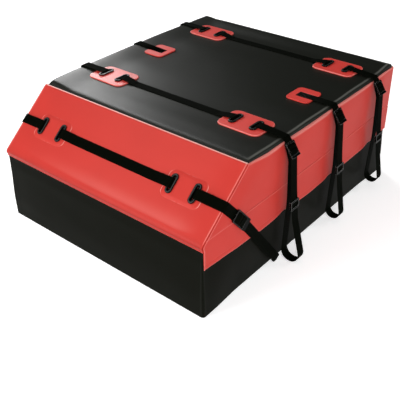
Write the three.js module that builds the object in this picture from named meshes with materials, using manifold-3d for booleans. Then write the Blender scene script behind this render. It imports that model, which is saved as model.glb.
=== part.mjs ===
// A soft roof cargo bag, closed and filled: a black tub, a red upper cover with a sloped nose, a flap over
// the zip, webbing with ladder lock buckles and sliders, and the patches and rings that guide the webbing.
// Millimetres. X runs across the bag, Y from the nose to the rear, Z up, and the bag stands on Z = 0.

import * as THREE from 'three';
import { mergeVertices } from 'three/addons/utils/BufferGeometryUtils.js';
import Module from 'manifold-3d';

const wasm = await Module();
wasm.setup();

// The bag
const bagWidth = 1000;
const bagLength = 1240;
const bagHeight = 494;
const foldHeight = 294; // where the front wall turns into the sloped nose
const noseSetback = 236; // from the front wall back to the top panel
const cornerRadius = 8;
const foldSoftness = 9; // half the height over which the fold is rounded
const tubSoftness = 4; // rounding of the lower edge of the tub
const hemDrop = 24; // from the fold down to the lower edge of the red cover, where the zip closes
const clothThickness = 3;
const clothGap = 0.3;

// The rain flap over the zip
const flapAbove = 43;
const flapBelow = 70;

// The top panel and the padded rim round it
const panelThickness = 4.5;
const rimRadius = 8;
const rimInset = 7.5; // from the side of the bag to the seam round the top panel
const panelRimRadius = 3.5;

// The zip
const zipTapeWidth = 24;
const zipTapeThickness = 1.2;
const zipTeethWidth = 7;
const zipTeethHeight = 3;
const zipGrooveDepth = 10;
const zipSliderLength = 16;
const zipSliderHeight = 4.6;
const zipSliderCheek = 2.5; // beside the teeth
const zipPlay = 0.5;
const zipPullLength = 26;
const zipPullWidth = 7;
const zipPullThickness = 1.2;
const zipSliderPlace = 10; // each slider's distance from the middle of the rear

// Webbing
const webbingWidth = 38;
const webbingThickness = 1.8;
const webbingGap = 0.35;
const layerGap = 0.45;
const frontRow = 450; // from the front wall
const rearRow = 165; // from the rear wall

// Patches and the rings round their slots
const patchLength = 184;
const patchWidth = 128;
const patchThickness = 4.7;
const patchCorner = 28;
const patchInset = 170; // from the side of the bag to the middle of a patch
const slotSpacing = 90;
const nosePatchLength = 168;
const nosePatchWidth = 113;
const noseSlotSpacing = 100;
const noseStrapClimb = 150; // from the fold up the slope to the middle of the nose strap
const middlePatchLength = 101;
const middlePatchWidth = 112;
const middlePatchInset = 133;
const middlePatchCorner = 20;
const middlePatchBorder = 25; // red left round the sewn end of the webbing
const slotLength = 60;
const slotWidth = 14;
const ringBar = 7;
const ringHeight = 5;
const ringEdge = 1.6;
const channelPlay = 1; // room beside the webbing in a channel or a window
const webbingClimb = 62; // length over which webbing rises from the cloth to a ring
const ringLead = 4; // level webbing beyond a ring
const diveBend = 3; // bend of webbing into a slot, to its middle
const edgeBack = 2.5; // where webbing turns over the top edge, in from the side
const edgeRise = 3.6;
const edgeBend = 9;

// Ladder lock buckles
const buckleThickness = 4.5;
const railWidth = 4;
const buckleCorner = 4;
const windowCorner = 2;
const barTurn = 2.4; // bend of webbing round a bar, to its middle
const lipRise = 3.5;
const sideBuckle = { topBar: 6, windows: [9, 9, 12], bar: 5, lip: 10 };
const noseBuckle = { topBar: 6, windows: [28, 10, 20], bar: 6, lip: 18 };
const sideBuckleTilt = THREE.MathUtils.degToRad(32); // away from the vertical
const sideBuckleOut = 12; // top of the buckle, outside the wall
const sideBuckleDrop = 11; // top of the buckle, below the top of the bag
const noseBuckleOut = 10.5;
const noseBuckleDrop = 65;

// Loop straps: the inner leg hangs beside the wall, the outer leg comes back up to the buckle
const innerLegOut = 16;
const innerLegDrop = 69; // where the inner leg has reached its place, below the top of the bag
const slideTopOut = 42; // the straight stretch of the outer leg, on which the slider moves
const slideTopDrop = 182;
const slideBottomOut = 56;
const slideBottomHeight = 178;
const loops = {
  front: { foot: 3.2, out: 100, bend: 36 },
  middle: { foot: 22, out: 82, bend: 29 },
  rear: { foot: 39, out: 82, bend: 29 },
};
const strapTail = 42;

// Sliders on the loop straps
const sliderLength = 36;
const sliderBar = 7;
const sliderRail = 5;
const sliderBarThickness = 3;

// Free webbing under the nose buckles
const noseTailFoot = 15.2; // height of the middle of the folded end
const hemFold = 30;

// Finishes
function finish(name, color, roughness, metalness = 0) {
  return new THREE.MeshStandardMaterial({ name, color, roughness, metalness });
}

const blackCloth = finish('black_cloth', 0x1b1b1c, 0.5);
const redCloth = finish('red_cloth', 0xc8231b, 0.42);
const webbingCloth = finish('webbing', 0x121310, 0.85);
const mouldedPlastic = finish('moulded_plastic', 0x0d0d0e, 0.3);
const zipCloth = finish('zip', 0x101010, 0.6);
const zipMetal = finish('zip_metal', 0x8a8a88, 0.35, 0.9);

// Values that follow from the sizes above
const wall = bagWidth / 2;
const noseRise = bagHeight - foldHeight;
const slopeAngle = Math.atan2(noseRise, noseSetback);
const hemHeight = foldHeight - hemDrop;
const flapTop = hemHeight + flapAbove;
const flapBottom = hemHeight - flapBelow;
const rows = {
  front: frontRow - bagLength / 2,
  middle: (frontRow - rearRow) / 2,
  rear: bagLength / 2 - rearRow,
};
const sides = { left: -1, right: 1 };
const patchPlace = wall - patchInset;
const middlePatchPlace = wall - middlePatchInset;
const slideTopHeight = bagHeight - slideTopDrop;
const slideSlope = (slideTopOut - slideBottomOut) / (slideTopHeight - slideBottomHeight);
const noseStrapHeight = foldHeight + noseStrapClimb * Math.sin(slopeAngle);
const noseTailLength = (noseStrapHeight - noseTailFoot) / Math.cos(slopeAngle);
const tubInset = clothThickness + clothGap;
const lieHeight = clothGap + webbingThickness / 2; // middle of webbing that lies on the bag
const patchTop = clothGap + patchThickness;
const ringTop = patchTop + clothGap + ringHeight;
const overRing = ringTop + webbingGap + webbingThickness / 2;
const channelWidth = webbingWidth + 2 * channelPlay;
const channelDepth = webbingThickness + 2 * clothGap;
const standoff = buckleThickness / 2 + webbingGap + webbingThickness / 2;
const foldBack = webbingThickness + 2 * layerGap; // between the middles of two layers of webbing

const object = new THREE.Group();

// Solids: a three.js geometry becomes a solid that can be joined and cut, and comes back as a geometry.
function solid(geometry) {
  const plain = geometry.clone();
  plain.deleteAttribute('normal');
  plain.deleteAttribute('uv');
  const merged = mergeVertices(plain, 1e-4);
  return new wasm.Manifold(new wasm.Mesh({
    numProp: 3,
    vertProperties: new Float32Array(merged.attributes.position.array),
    triVerts: new Uint32Array(merged.index.array),
  }));
}

function geometryOf(body) {
  const mesh = body.getMesh();
  const geometry = new THREE.BufferGeometry();
  geometry.setAttribute('position', new THREE.BufferAttribute(mesh.vertProperties, 3));
  geometry.setIndex(new THREE.BufferAttribute(mesh.triVerts, 1));
  geometry.computeVertexNormals();
  return geometry;
}

function place(parent, name, geometry, material) {
  const mesh = new THREE.Mesh(geometry, material);
  mesh.name = name;
  parent.add(mesh);
  return mesh;
}

// Outlines in a plane
function arc(centreX, centreY, radius, from, to, steps) {
  return Array.from({ length: steps + 1 }, (_, step) => {
    const angle = from + (to - from) * step / steps;
    return new THREE.Vector2(centreX + radius * Math.cos(angle), centreY + radius * Math.sin(angle));
  });
}

function roundedRectangle(left, right, front, rear, radius, steps = 3) {
  const quarter = Math.PI / 2;
  return [
    ...arc(right - radius, front + radius, radius, -quarter, 0, steps),
    ...arc(right - radius, rear - radius, radius, 0, quarter, steps),
    ...arc(left + radius, rear - radius, radius, quarter, 2 * quarter, steps),
    ...arc(left + radius, front + radius, radius, 2 * quarter, 3 * quarter, steps),
  ];
}

function stadium(length, width, steps = 5) {
  const radius = width / 2;
  const reach = length / 2 - radius;
  return [
    ...arc(0, reach, radius, 0, Math.PI, steps),
    ...arc(0, -reach, radius, Math.PI, 2 * Math.PI, steps),
  ];
}

function prism(outline, depth, holes = []) {
  const shape = new THREE.Shape(outline);
  holes.forEach((hole) => shape.holes.push(new THREE.Path(hole)));
  return new THREE.ExtrudeGeometry(shape, { depth, bevelEnabled: false });
}

// A path with rounded corners: each corner is [x, y, radius].
function roundedPath(corners) {
  const stepAngle = THREE.MathUtils.degToRad(22);
  const path = corners.flatMap(([x, y, radius = 0], index) => {
    const here = new THREE.Vector2(x, y);
    if (radius === 0) {
      return [here];
    }
    const toBefore = new THREE.Vector2(...corners[index - 1].slice(0, 2)).sub(here).normalize();
    const toAfter = new THREE.Vector2(...corners[index + 1].slice(0, 2)).sub(here).normalize();
    const half = Math.acos(THREE.MathUtils.clamp(toBefore.dot(toAfter), -1, 1)) / 2;
    const turn = Math.PI - 2 * half;
    const inwards = toBefore.clone().add(toAfter).normalize();
    const centre = inwards.multiplyScalar(radius / Math.sin(half)).add(here);
    const sense = Math.sign(toAfter.cross(toBefore));
    const start = toBefore.multiplyScalar(radius / Math.tan(half)).add(here).sub(centre);
    const steps = Math.max(1, Math.ceil(turn / stepAngle));
    return Array.from({ length: steps + 1 }, (_, step) => {
      return start.clone().rotateAround(new THREE.Vector2(), sense * turn * step / steps).add(centre);
    });
  });
  return path.filter((point, index) => index === 0 || point.distanceTo(path[index - 1]) > 0.01);
}

// The outline of a strip of even thickness along a path
function stripOutline(path, thickness) {
  const edge = (side) => path.map((point, index) => {
    const before = path[Math.max(index - 1, 0)];
    const after = path[Math.min(index + 1, path.length - 1)];
    const into = point.clone().sub(index ? before : point).normalize();
    const out = after.clone().sub(point).normalize();
    const along = into.clone().add(out).normalize();
    const mitre = index && index < path.length - 1 ? along.dot(out) : 1;
    const across = new THREE.Vector2(-along.y, along.x);
    return point.clone().add(across.multiplyScalar(side * thickness / 2 / mitre));
  });
  return [...edge(1), ...edge(-1).reverse()];
}

// A strip seen edge on in the X-Z plane, as wide as is said along Y, and centred there
function strip(corners, thickness, width) {
  const geometry = prism(stripOutline(roundedPath(corners), thickness), width);
  return geometry.rotateX(Math.PI / 2).translate(0, width / 2, 0);
}

function webbing(corners) {
  return strip(corners, webbingThickness, webbingWidth);
}

// The closed bag is a stack of level outlines. The front edge of a level follows the wall, the softly
// rounded fold and the sloped nose.
function frontAt(height) {
  const over = height - foldHeight;
  const slope = noseSetback / noseRise;
  const soft = Math.max(over + foldSoftness, 0) ** 2 / (4 * foldSoftness);
  return -bagLength / 2 + slope * (over > foldSoftness ? over : soft);
}

function levelOutline({ height, inset }) {
  const across = wall - inset;
  return roundedRectangle(-across, across, frontAt(height) + inset, bagLength / 2 - inset, cornerRadius);
}

function stack(levels) {
  const outlines = levels.map(levelOutline);
  const count = outlines[0].length;
  const positions = levels.flatMap(({ height }, level) => {
    return outlines[level].flatMap(({ x, y }) => [x, y, height]);
  });
  const index = [];
  for (let level = 0; level < levels.length - 1; level += 1) {
    for (let corner = 0; corner < count; corner += 1) {
      const a = level * count + corner;
      const b = level * count + (corner + 1) % count;
      index.push(a, b, b + count, a, b + count, a + count);
    }
  }
  const last = (levels.length - 1) * count;
  for (let corner = 1; corner < count - 1; corner += 1) {
    index.push(0, corner + 1, corner);
    index.push(last, last + corner, last + corner + 1);
  }
  const geometry = new THREE.BufferGeometry();
  geometry.setAttribute('position', new THREE.Float32BufferAttribute(positions, 3));
  geometry.setIndex(index);
  return geometry;
}

// A quarter round at the top of a stack of levels
function shoulder(top, radius, inset, steps) {
  return Array.from({ length: steps + 1 }, (_, step) => {
    const angle = Math.PI / 2 * step / steps;
    const back = radius * (1 - Math.cos(angle));
    return { height: top - radius + radius * Math.sin(angle), inset: inset + back };
  });
}

// An upright strip of cloth that runs along one side, round the rear and back along the other side
function wrap(outside, thickness, bottom, top, front) {
  const side = (out) => {
    const rear = out - wall + bagLength / 2;
    const radius = Math.max(cornerRadius - wall + out, 1);
    return [
      new THREE.Vector2(out, front),
      ...arc(out - radius, rear - radius, radius, 0, Math.PI / 2, 3),
      ...arc(radius - out, rear - radius, radius, Math.PI / 2, Math.PI, 3),
      new THREE.Vector2(-out, front),
    ];
  };
  const outline = [...side(outside), ...side(outside - thickness).reverse()];
  return prism(outline, top - bottom).translate(0, 0, bottom);
}

// The room for the zip, cut a little proud of the cloth so that it comes out open
function zipGroove() {
  const half = zipTapeWidth / 2 + clothGap;
  const proud = 2;
  const outside = wall - tubInset + proud;
  return solid(wrap(outside, zipGrooveDepth + proud, hemHeight - half, hemHeight + half, zipFront()));
}

// The zip stops a little behind the nose.
function zipFront() {
  return -bagLength / 2 + zipTapeWidth;
}

function lowerTub() {
  const top = hemHeight - clothGap;
  const levels = [
    { height: 0, inset: tubInset + tubSoftness / 2 },
    { height: tubSoftness, inset: tubInset },
    { height: top, inset: tubInset },
  ];
  return geometryOf(solid(stack(levels)).subtract(zipGroove()));
}

// Levels that follow the rounded fold at the front
const foldLevels = [-1, -0.5, 0, 0.5, 1].map((share) => {
  return { height: foldHeight + share * foldSoftness, inset: 0 };
});

// The flap lies in a rebate of the cover, so that their faces are level.
function upperCover() {
  const rim = shoulder(bagHeight - panelThickness, rimRadius, 0, 4);
  const proud = 5;
  const front = -bagLength / 2 - proud;
  const rebate = wrap(wall + proud, tubInset + proud, hemHeight - proud, flapTop + clothGap, front);
  const outside = stack([{ height: hemHeight, inset: 0 }, ...foldLevels, ...rim]);
  return geometryOf(solid(outside).subtract(solid(rebate)).subtract(zipGroove()));
}

function topPanel() {
  const bottom = bagHeight - panelThickness + clothGap;
  const rim = shoulder(bagHeight, panelRimRadius, rimInset, 3);
  return stack([{ height: bottom, inset: rimInset }, ...rim]);
}

// The flap ends at the front corners, where it is cut along the slope of the nose.
function rainFlap() {
  const strip = wrap(wall, clothThickness, flapBottom, flapTop, -bagLength / 2 + clothGap);
  const outside = stack([{ height: flapBottom, inset: 0 }, ...foldLevels, { height: flapTop, inset: 0 }]);
  return geometryOf(solid(strip).intersect(solid(outside)));
}

// The zip: a tape with its closed teeth, and a slider that rides on them
function zipChain() {
  const floor = wall - tubInset - zipGrooveDepth + clothGap;
  const front = zipFront() + clothGap;
  const strand = (out, thickness, width) => {
    return solid(wrap(out + thickness, thickness, hemHeight - width / 2, hemHeight + width / 2, front));
  };
  const tape = strand(floor, zipTapeThickness, zipTapeWidth);
  return geometryOf(tape.add(strand(floor, zipTapeThickness + zipTeethHeight, zipTeethWidth)));
}

// The slider's own Y runs outwards from the tape. Its pull lies along the teeth.
function zipSlider() {
  const join = 0.2;
  const tunnelTop = zipTeethHeight - clothGap + zipPlay;
  const tunnelWidth = zipTeethWidth + 2 * zipPlay;
  const body = new THREE.BoxGeometry(zipSliderLength, zipSliderHeight, tunnelWidth + 2 * zipSliderCheek);
  const tunnel = new THREE.BoxGeometry(zipSliderLength + 2, 2 * tunnelTop, tunnelWidth);
  const pull = new THREE.BoxGeometry(zipPullLength, zipPullThickness, zipPullWidth);
  body.translate(0, zipSliderHeight / 2, 0);
  pull.translate((zipPullLength - zipPullWidth) / 2, zipSliderHeight + zipPullThickness / 2 - join, 0);
  return geometryOf(solid(body).subtract(solid(tunnel)).add(solid(pull)));
}

// Patches lie in their own X-Y plane, with the webbing along X.
function slotted(length, width, spacing) {
  const slot = (side) => stadium(slotLength, slotWidth).map(({ x, y }) => {
    return new THREE.Vector2(x + side * spacing / 2, y);
  });
  const outline = roundedRectangle(-length / 2, length / 2, -width / 2, width / 2, patchCorner, 4);
  const plate = prism(outline, patchThickness, [slot(-1), slot(1)]);
  const channel = new THREE.BoxGeometry(spacing, channelWidth, channelDepth * 2);
  return geometryOf(solid(plate).subtract(solid(channel))).translate(0, 0, clothGap);
}

function bordered() {
  const reach = middlePatchLength / 2;
  const half = middlePatchWidth / 2;
  const outline = roundedRectangle(-reach, reach, -half, half, middlePatchCorner, 4);
  const channel = new THREE.BoxGeometry(middlePatchLength, channelWidth, channelDepth * 2);
  channel.translate(middlePatchBorder, 0, patchThickness);
  const plate = prism(outline, patchThickness);
  return geometryOf(solid(plate).subtract(solid(channel))).translate(0, 0, clothGap);
}

function slotRing() {
  const edge = ringEdge;
  const around = 2 * (ringBar - edge);
  const shape = new THREE.Shape(stadium(slotLength + around, slotWidth + around));
  shape.holes.push(new THREE.Path(stadium(slotLength + 2 * edge, slotWidth + 2 * edge)));
  const geometry = new THREE.ExtrudeGeometry(shape, {
    depth: ringHeight - 2 * edge,
    bevelThickness: edge,
    bevelSize: edge,
    bevelSegments: 1,
  });
  return geometry.translate(0, 0, edge + patchTop + clothGap);
}

// Webbing that dives through one slot, runs under the patch and comes up through the other. The heights are
// above the cloth. The webbing passes over the outer bar of each ring.
function throughPatch(middle, spacing) {
  const reach = slotWidth / 2 + ringBar + ringLead;
  const edge = slotWidth / 2 - diveBend;
  const inner = middle - spacing / 2;
  const outer = middle + spacing / 2;
  return [
    [inner - reach, overRing, 2 * ringLead],
    [inner - edge, overRing, diveBend],
    [inner + diveBend, lieHeight, diveBend],
    [outer - diveBend, lieHeight, diveBend],
    [outer + edge, overRing, diveBend],
    [outer + reach, overRing, 2 * ringLead],
  ];
}

// Heights above the cloth, from the middle of the bag outwards
function patchRun(middle, spacing) {
  const through = throughPatch(middle, spacing);
  return [[through[0][0] - webbingClimb, lieHeight, webbingClimb / 2], ...through];
}

// Turns an outline in its X-Y plane to stand in the Y-Z plane, centred on X = 0
function facing(outline, depth) {
  return prism(outline, depth).rotateX(Math.PI / 2).rotateZ(Math.PI / 2).translate(-depth / 2, 0, 0);
}

// Where each window of a buckle starts and ends, down from its top edge
function windowsOf({ topBar, windows, bar }) {
  let from = topBar;
  return windows.map((window) => {
    const span = [from, from + window];
    from += window + bar;
    return span;
  });
}

// Ladder lock buckle: X runs outwards from the bag and the top edge is at Z = 0. The lip at its lower end
// curls outwards, and the webbing passes through the windows.
function ladderLock(buckle) {
  const spans = windowsOf(buckle);
  const length = spans[2][1] + buckle.lip;
  const width = channelWidth + 2 * railWidth;
  const reach = length;
  const bend = 0.8 * buckle.lip;
  const plate = strip([[0, 0], [0, bend - length, bend], [lipRise, -length]], buckleThickness, width);
  const plan = facing(roundedRectangle(-width / 2, width / 2, -length, 0, buckleCorner), reach);
  return geometryOf(spans.reduce((body, [from, to]) => {
    const window = roundedRectangle(-channelWidth / 2, channelWidth / 2, -to, -from, windowCorner, 2);
    return body.subtract(solid(facing(window, reach)));
  }, solid(plate).intersect(solid(plan))));
}

// A point of a buckle, given down its length and out of its face, in the plane of the strap
function buckleFrame(x, z, tilt) {
  return (down, out, radius = 0) => [
    x + down * Math.sin(tilt) + out * Math.cos(tilt),
    z - down * Math.cos(tilt) + out * Math.sin(tilt),
    radius,
  ];
}

// Webbing that the buckle holds: behind its top edge, round the upper bar and back up behind itself
function heldWebbing(buckle, at) {
  const [first, second] = windowsOf(buckle);
  return [
    at(first[0] + webbingGap + webbingThickness / 2, -standoff, barTurn),
    at(first[1] - barTurn, standoff, barTurn),
    at(second[0] + barTurn, standoff, barTurn),
    at(second[0] + barTurn, -standoff - foldBack, barTurn),
    at(-foldBack, -standoff - foldBack),
  ];
}

// Webbing that the buckle grips: up behind the lip, round the lower bar, and down behind itself
function grippedWebbing(buckle, at, lean) {
  const [, second, third] = windowsOf(buckle);
  const apart = third[0] - second[1] + 2 * barTurn;
  const behind = Math.max(foldBack / Math.cos(lean) - apart * Math.tan(lean), 0);
  return [
    at(third[0] + barTurn, -standoff, barTurn),
    at(third[0] + barTurn, standoff, barTurn),
    at(second[1] - barTurn, standoff, barTurn),
    at(second[1] - barTurn, -standoff - behind, barTurn),
    at(second[1] - barTurn + strapTail, -standoff - behind - strapTail * Math.tan(lean)),
  ];
}

const mirrored = ([x, z, radius]) => [-x, z, radius];

// One strap right across the bag: under both patches, over both edges and into both buckles
function crossStrap(base, run, overEdge, held) {
  const right = [...run.map(([x, height, radius]) => [x, base + height, radius]), overEdge, ...held];
  return webbing([...right.map(mirrored).reverse(), ...right]);
}

const atSideBuckle = buckleFrame(wall + sideBuckleOut, bagHeight - sideBuckleDrop, sideBuckleTilt);
const atNoseBuckle = buckleFrame(wall + noseBuckleOut, -noseBuckleDrop, 0);
const overTopEdge = [wall - edgeBack, bagHeight + edgeRise, edgeBend];
const overNoseEdge = [wall + noseBuckleOut - standoff, edgeRise, edgeBend];

function middleStrap() {
  const height = bagHeight + patchTop - channelDepth + clothGap + webbingThickness / 2;
  const start = middlePatchPlace - middlePatchLength / 2 + middlePatchBorder + channelPlay;
  return webbing([[start, height], overTopEdge, ...heldWebbing(sideBuckle, atSideBuckle)]);
}

// The inner leg starts under the held webbing, to which it is sewn.
function loopStrap({ foot, out, bend }) {
  return webbing([
    atSideBuckle(0, -standoff - 2 * foldBack),
    [wall + innerLegOut, bagHeight - innerLegDrop, innerLegDrop],
    [wall + innerLegOut, foot, bend],
    [wall + out, foot, bend],
    [wall + slideBottomOut, slideBottomHeight, bend],
    [wall + slideTopOut, slideTopHeight],
    ...grippedWebbing(sideBuckle, atSideBuckle, sideBuckleTilt + Math.atan(slideSlope)),
  ]);
}

function noseTail() {
  const out = wall + noseBuckleOut - standoff;
  const turn = foldBack / 2;
  return webbing([
    [out - foldBack, hemFold - noseTailLength],
    [out - foldBack, -noseTailLength, turn],
    [out, -noseTailLength, turn],
    ...grippedWebbing(noseBuckle, atNoseBuckle, 0),
  ]);
}

// Slider: its two end bars lie in front of the webbing and its middle bar behind it. Z runs along the
// webbing, and X outwards.
function strapSlider() {
  const width = channelWidth + 2 * sliderRail;
  const front = webbingThickness / 2 + webbingGap;
  const depth = 2 * (front + sliderBarThickness);
  const hole = sliderLength / 2 - sliderBar;
  const outline = roundedRectangle(-width / 2, width / 2, -sliderLength / 2, sliderLength / 2, buckleCorner);
  const opening = roundedRectangle(-channelWidth / 2, channelWidth / 2, -hole, hole, windowCorner, 2);
  const frame = facing(outline, depth);
  const window = facing(opening, depth + 2);
  const passage = new THREE.BoxGeometry(depth, channelWidth, sliderLength + 2);
  passage.translate(front - depth / 2, 0, 0);
  const middleBar = new THREE.BoxGeometry(sliderBarThickness, channelWidth + sliderRail, sliderBar);
  middleBar.translate(-front - sliderBarThickness / 2, 0, 0);
  return geometryOf(solid(frame).subtract(solid(window)).subtract(solid(passage)).add(solid(middleBar)));
}

// The bag
place(object, 'lower_tub', lowerTub(), blackCloth);
place(object, 'upper_cover', upperCover(), redCloth);
place(object, 'top_panel', topPanel(), blackCloth);
place(object, 'rain_flap', rainFlap(), redCloth);

// The zip
place(object, 'zip_chain', zipChain(), zipCloth);
const tapeFace = bagLength / 2 - tubInset - zipGrooveDepth + clothGap + zipTapeThickness;
for (const [side, sign] of Object.entries(sides)) {
  const slider = place(object, `zip_slider_${side}`, zipSlider(), zipMetal);
  slider.position.set(sign * zipSliderPlace, tapeFace + clothGap, hemHeight);
  slider.rotation.y = sign > 0 ? 0 : Math.PI;
}

// A group whose +X side faces one side of the bag. The left one is turned half round, not mirrored.
function sideGroup(parent, side, y = 0) {
  const group = new THREE.Group();
  group.position.y = y;
  group.rotation.z = sides[side] > 0 ? 0 : Math.PI;
  parent.add(group);
  return group;
}

function placeRings(group, name, middle, spacing, base) {
  for (const [where, sign] of [['inner', -1], ['outer', 1]]) {
    const ring = place(group, `${name}_${where}`, slotRing(), mouldedPlastic);
    ring.position.set(middle + sign * spacing / 2, 0, base);
  }
}

// Straps over the top and down the sides
for (const [row, y] of Object.entries(rows)) {
  if (row !== 'middle') {
    const run = patchRun(patchPlace, slotSpacing);
    const strap = crossStrap(bagHeight, run, overTopEdge, heldWebbing(sideBuckle, atSideBuckle));
    place(object, `top_strap_${row}`, strap, webbingCloth).position.y = y;
  }
  for (const side of Object.keys(sides)) {
    const group = sideGroup(object, side, y);
    if (row === 'middle') {
      const patch = place(group, `middle_patch_${side}`, bordered(), redCloth);
      patch.position.set(middlePatchPlace, 0, bagHeight);
      place(group, `top_strap_middle_${side}`, middleStrap(), webbingCloth);
    } else {
      const patch = slotted(patchLength, patchWidth, slotSpacing);
      place(group, `top_patch_${row}_${side}`, patch, redCloth).position.set(patchPlace, 0, bagHeight);
      placeRings(group, `slot_ring_${row}_${side}`, patchPlace, slotSpacing, bagHeight);
    }
    const lock = ladderLock(sideBuckle);
    const buckle = place(group, `side_buckle_${row}_${side}`, lock, mouldedPlastic);
    buckle.position.set(wall + sideBuckleOut, 0, bagHeight - sideBuckleDrop);
    buckle.rotation.y = -sideBuckleTilt;
    place(group, `loop_strap_${row}_${side}`, loopStrap(loops[row]), webbingCloth);
    const slider = place(group, `strap_slider_${row}_${side}`, strapSlider(), mouldedPlastic);
    slider.position.x = wall + (slideTopOut + slideBottomOut) / 2;
    slider.position.z = (slideTopHeight + slideBottomHeight) / 2;
    slider.rotation.y = Math.atan(slideSlope);
  }
}

// The strap over the nose: its group lies on the slope, with Y up the slope and Z square to it
const nose = new THREE.Group();
nose.position.y = -bagLength / 2 + noseStrapClimb * Math.cos(slopeAngle);
nose.position.z = foldHeight + noseStrapClimb * Math.sin(slopeAngle);
nose.rotation.x = slopeAngle;
object.add(nose);
const noseRun = patchRun(patchPlace, noseSlotSpacing);
const noseStrap = crossStrap(0, noseRun, overNoseEdge, heldWebbing(noseBuckle, atNoseBuckle));
place(nose, 'nose_strap', noseStrap, webbingCloth);
for (const side of Object.keys(sides)) {
  const group = sideGroup(nose, side);
  const patch = slotted(nosePatchLength, nosePatchWidth, noseSlotSpacing);
  place(group, `nose_patch_${side}`, patch, redCloth).position.x = patchPlace;
  placeRings(group, `slot_ring_nose_${side}`, patchPlace, noseSlotSpacing, 0);
  const buckle = place(group, `nose_buckle_${side}`, ladderLock(noseBuckle), mouldedPlastic);
  buckle.position.set(wall + noseBuckleOut, 0, -noseBuckleDrop);
  place(group, `nose_tail_${side}`, noseTail(), webbingCloth);
}

export default object;
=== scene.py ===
# %% [markdown]
# # A soft roof cargo bag, dressed in Blender
#
# The bag was drawn first as plain solids, which are the frame of this scene. Here every soft solid gets a
# surface worked out with numpy, every hard one gets its edges rounded, and each finish is made of nodes.
#
# X runs across the bag, Y from the nose to the rear and Z up. Lengths are in millimetres, as the bag was
# drawn, until a mesh is made in metres. "Row" means one line of straps across the bag.

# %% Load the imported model
import math

import bmesh
import bpy
import numpy as np
from mathutils import Matrix, Vector


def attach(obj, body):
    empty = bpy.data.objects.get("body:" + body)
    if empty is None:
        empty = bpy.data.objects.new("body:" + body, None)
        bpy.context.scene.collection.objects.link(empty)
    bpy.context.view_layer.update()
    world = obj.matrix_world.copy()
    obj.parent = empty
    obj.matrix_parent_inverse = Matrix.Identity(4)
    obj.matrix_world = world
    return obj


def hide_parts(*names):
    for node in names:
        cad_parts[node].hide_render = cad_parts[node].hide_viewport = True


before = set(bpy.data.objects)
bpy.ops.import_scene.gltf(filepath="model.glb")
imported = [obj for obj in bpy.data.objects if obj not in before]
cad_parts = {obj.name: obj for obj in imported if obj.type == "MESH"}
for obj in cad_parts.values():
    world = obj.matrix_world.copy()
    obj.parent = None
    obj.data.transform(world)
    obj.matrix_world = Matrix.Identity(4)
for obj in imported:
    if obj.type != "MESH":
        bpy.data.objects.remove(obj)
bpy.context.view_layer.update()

# %% [markdown]
# ## Camera
#
# The picture shows the bag from above its right front corner. The edges of the bag run to their vanishing
# points quickly enough to tell how near the camera stood, so its place and lens are plain numbers here.
# A camera looks along its own -Z axis, so its three axes are written down the columns of a matrix.

# %% Camera
CAMERA_PLACE = (1.5705, -1.8805, 1.5922)
CAMERA_AZIMUTH = math.radians(40.47)
CAMERA_ELEVATION = math.radians(33.93)
CAMERA_ROLL = math.radians(-1.11)
FOCAL_PIXELS = 674.2
PICTURE_PIXELS = 400
SENSOR_WIDTH = 36


def new_object(name, data):
    """An object in the scene for a camera, a light or a mesh."""
    made = bpy.data.objects.new(name, data)
    bpy.context.scene.collection.objects.link(made)
    return made


def camera_axes(azimuth, elevation, roll):
    """Right, up and back of a camera that stands at an azimuth round the bag and an elevation over it.

    Azimuth 0 looks along +Y. The roll turns right and up about the axis that points back.
    """
    right = Vector((math.cos(azimuth), math.sin(azimuth), 0))
    level = math.cos(elevation)
    back = Vector((math.sin(azimuth) * level, -math.cos(azimuth) * level, math.sin(elevation)))
    up = back.cross(right)
    turned_right = math.cos(roll) * right + math.sin(roll) * up
    return turned_right, math.cos(roll) * up - math.sin(roll) * right, back


camera_data = bpy.data.cameras.new("picture_camera")
camera_data.sensor_width = SENSOR_WIDTH
camera_data.lens = FOCAL_PIXELS / PICTURE_PIXELS * SENSOR_WIDTH
camera = new_object("picture_camera", camera_data)
axes = camera_axes(CAMERA_AZIMUTH, CAMERA_ELEVATION, CAMERA_ROLL)
camera.matrix_world = Matrix.Translation(CAMERA_PLACE) @ Matrix(axes).transposed().to_4x4()
bpy.context.scene.camera = camera
print("lens:", round(camera_data.lens, 2), "mm")

# %% [markdown]
# ## Shader maths as Python
#
# A finish is easier to read as a formula than as a web of nodes. `Value` wraps one socket, and its
# operators add Math nodes, so `1 - mask` works. `Finish` holds one material and makes any other node.

# %% One socket of a material


class Value:
    """One socket of a material. Arithmetic on it adds Math nodes to the same material."""

    def __init__(self, finish, socket):
        self.finish = finish
        self.socket = socket

    def math(self, operation, *others):
        """A Math node with this value first."""
        return self.finish.node("Math", [self, *others], operation=operation)

    def __add__(self, other):
        return self.math("ADD", other)

    def __mul__(self, other):
        return self.math("MULTIPLY", other)

    def __sub__(self, other):
        return self.math("SUBTRACT", other)

    def __rsub__(self, other):
        return self.finish.node("Math", [other, self], operation="SUBTRACT")

    def clamped(self):
        """This value, held between 0 and 1."""
        return self.finish.node("Clamp", [self])


# %% One material


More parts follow.
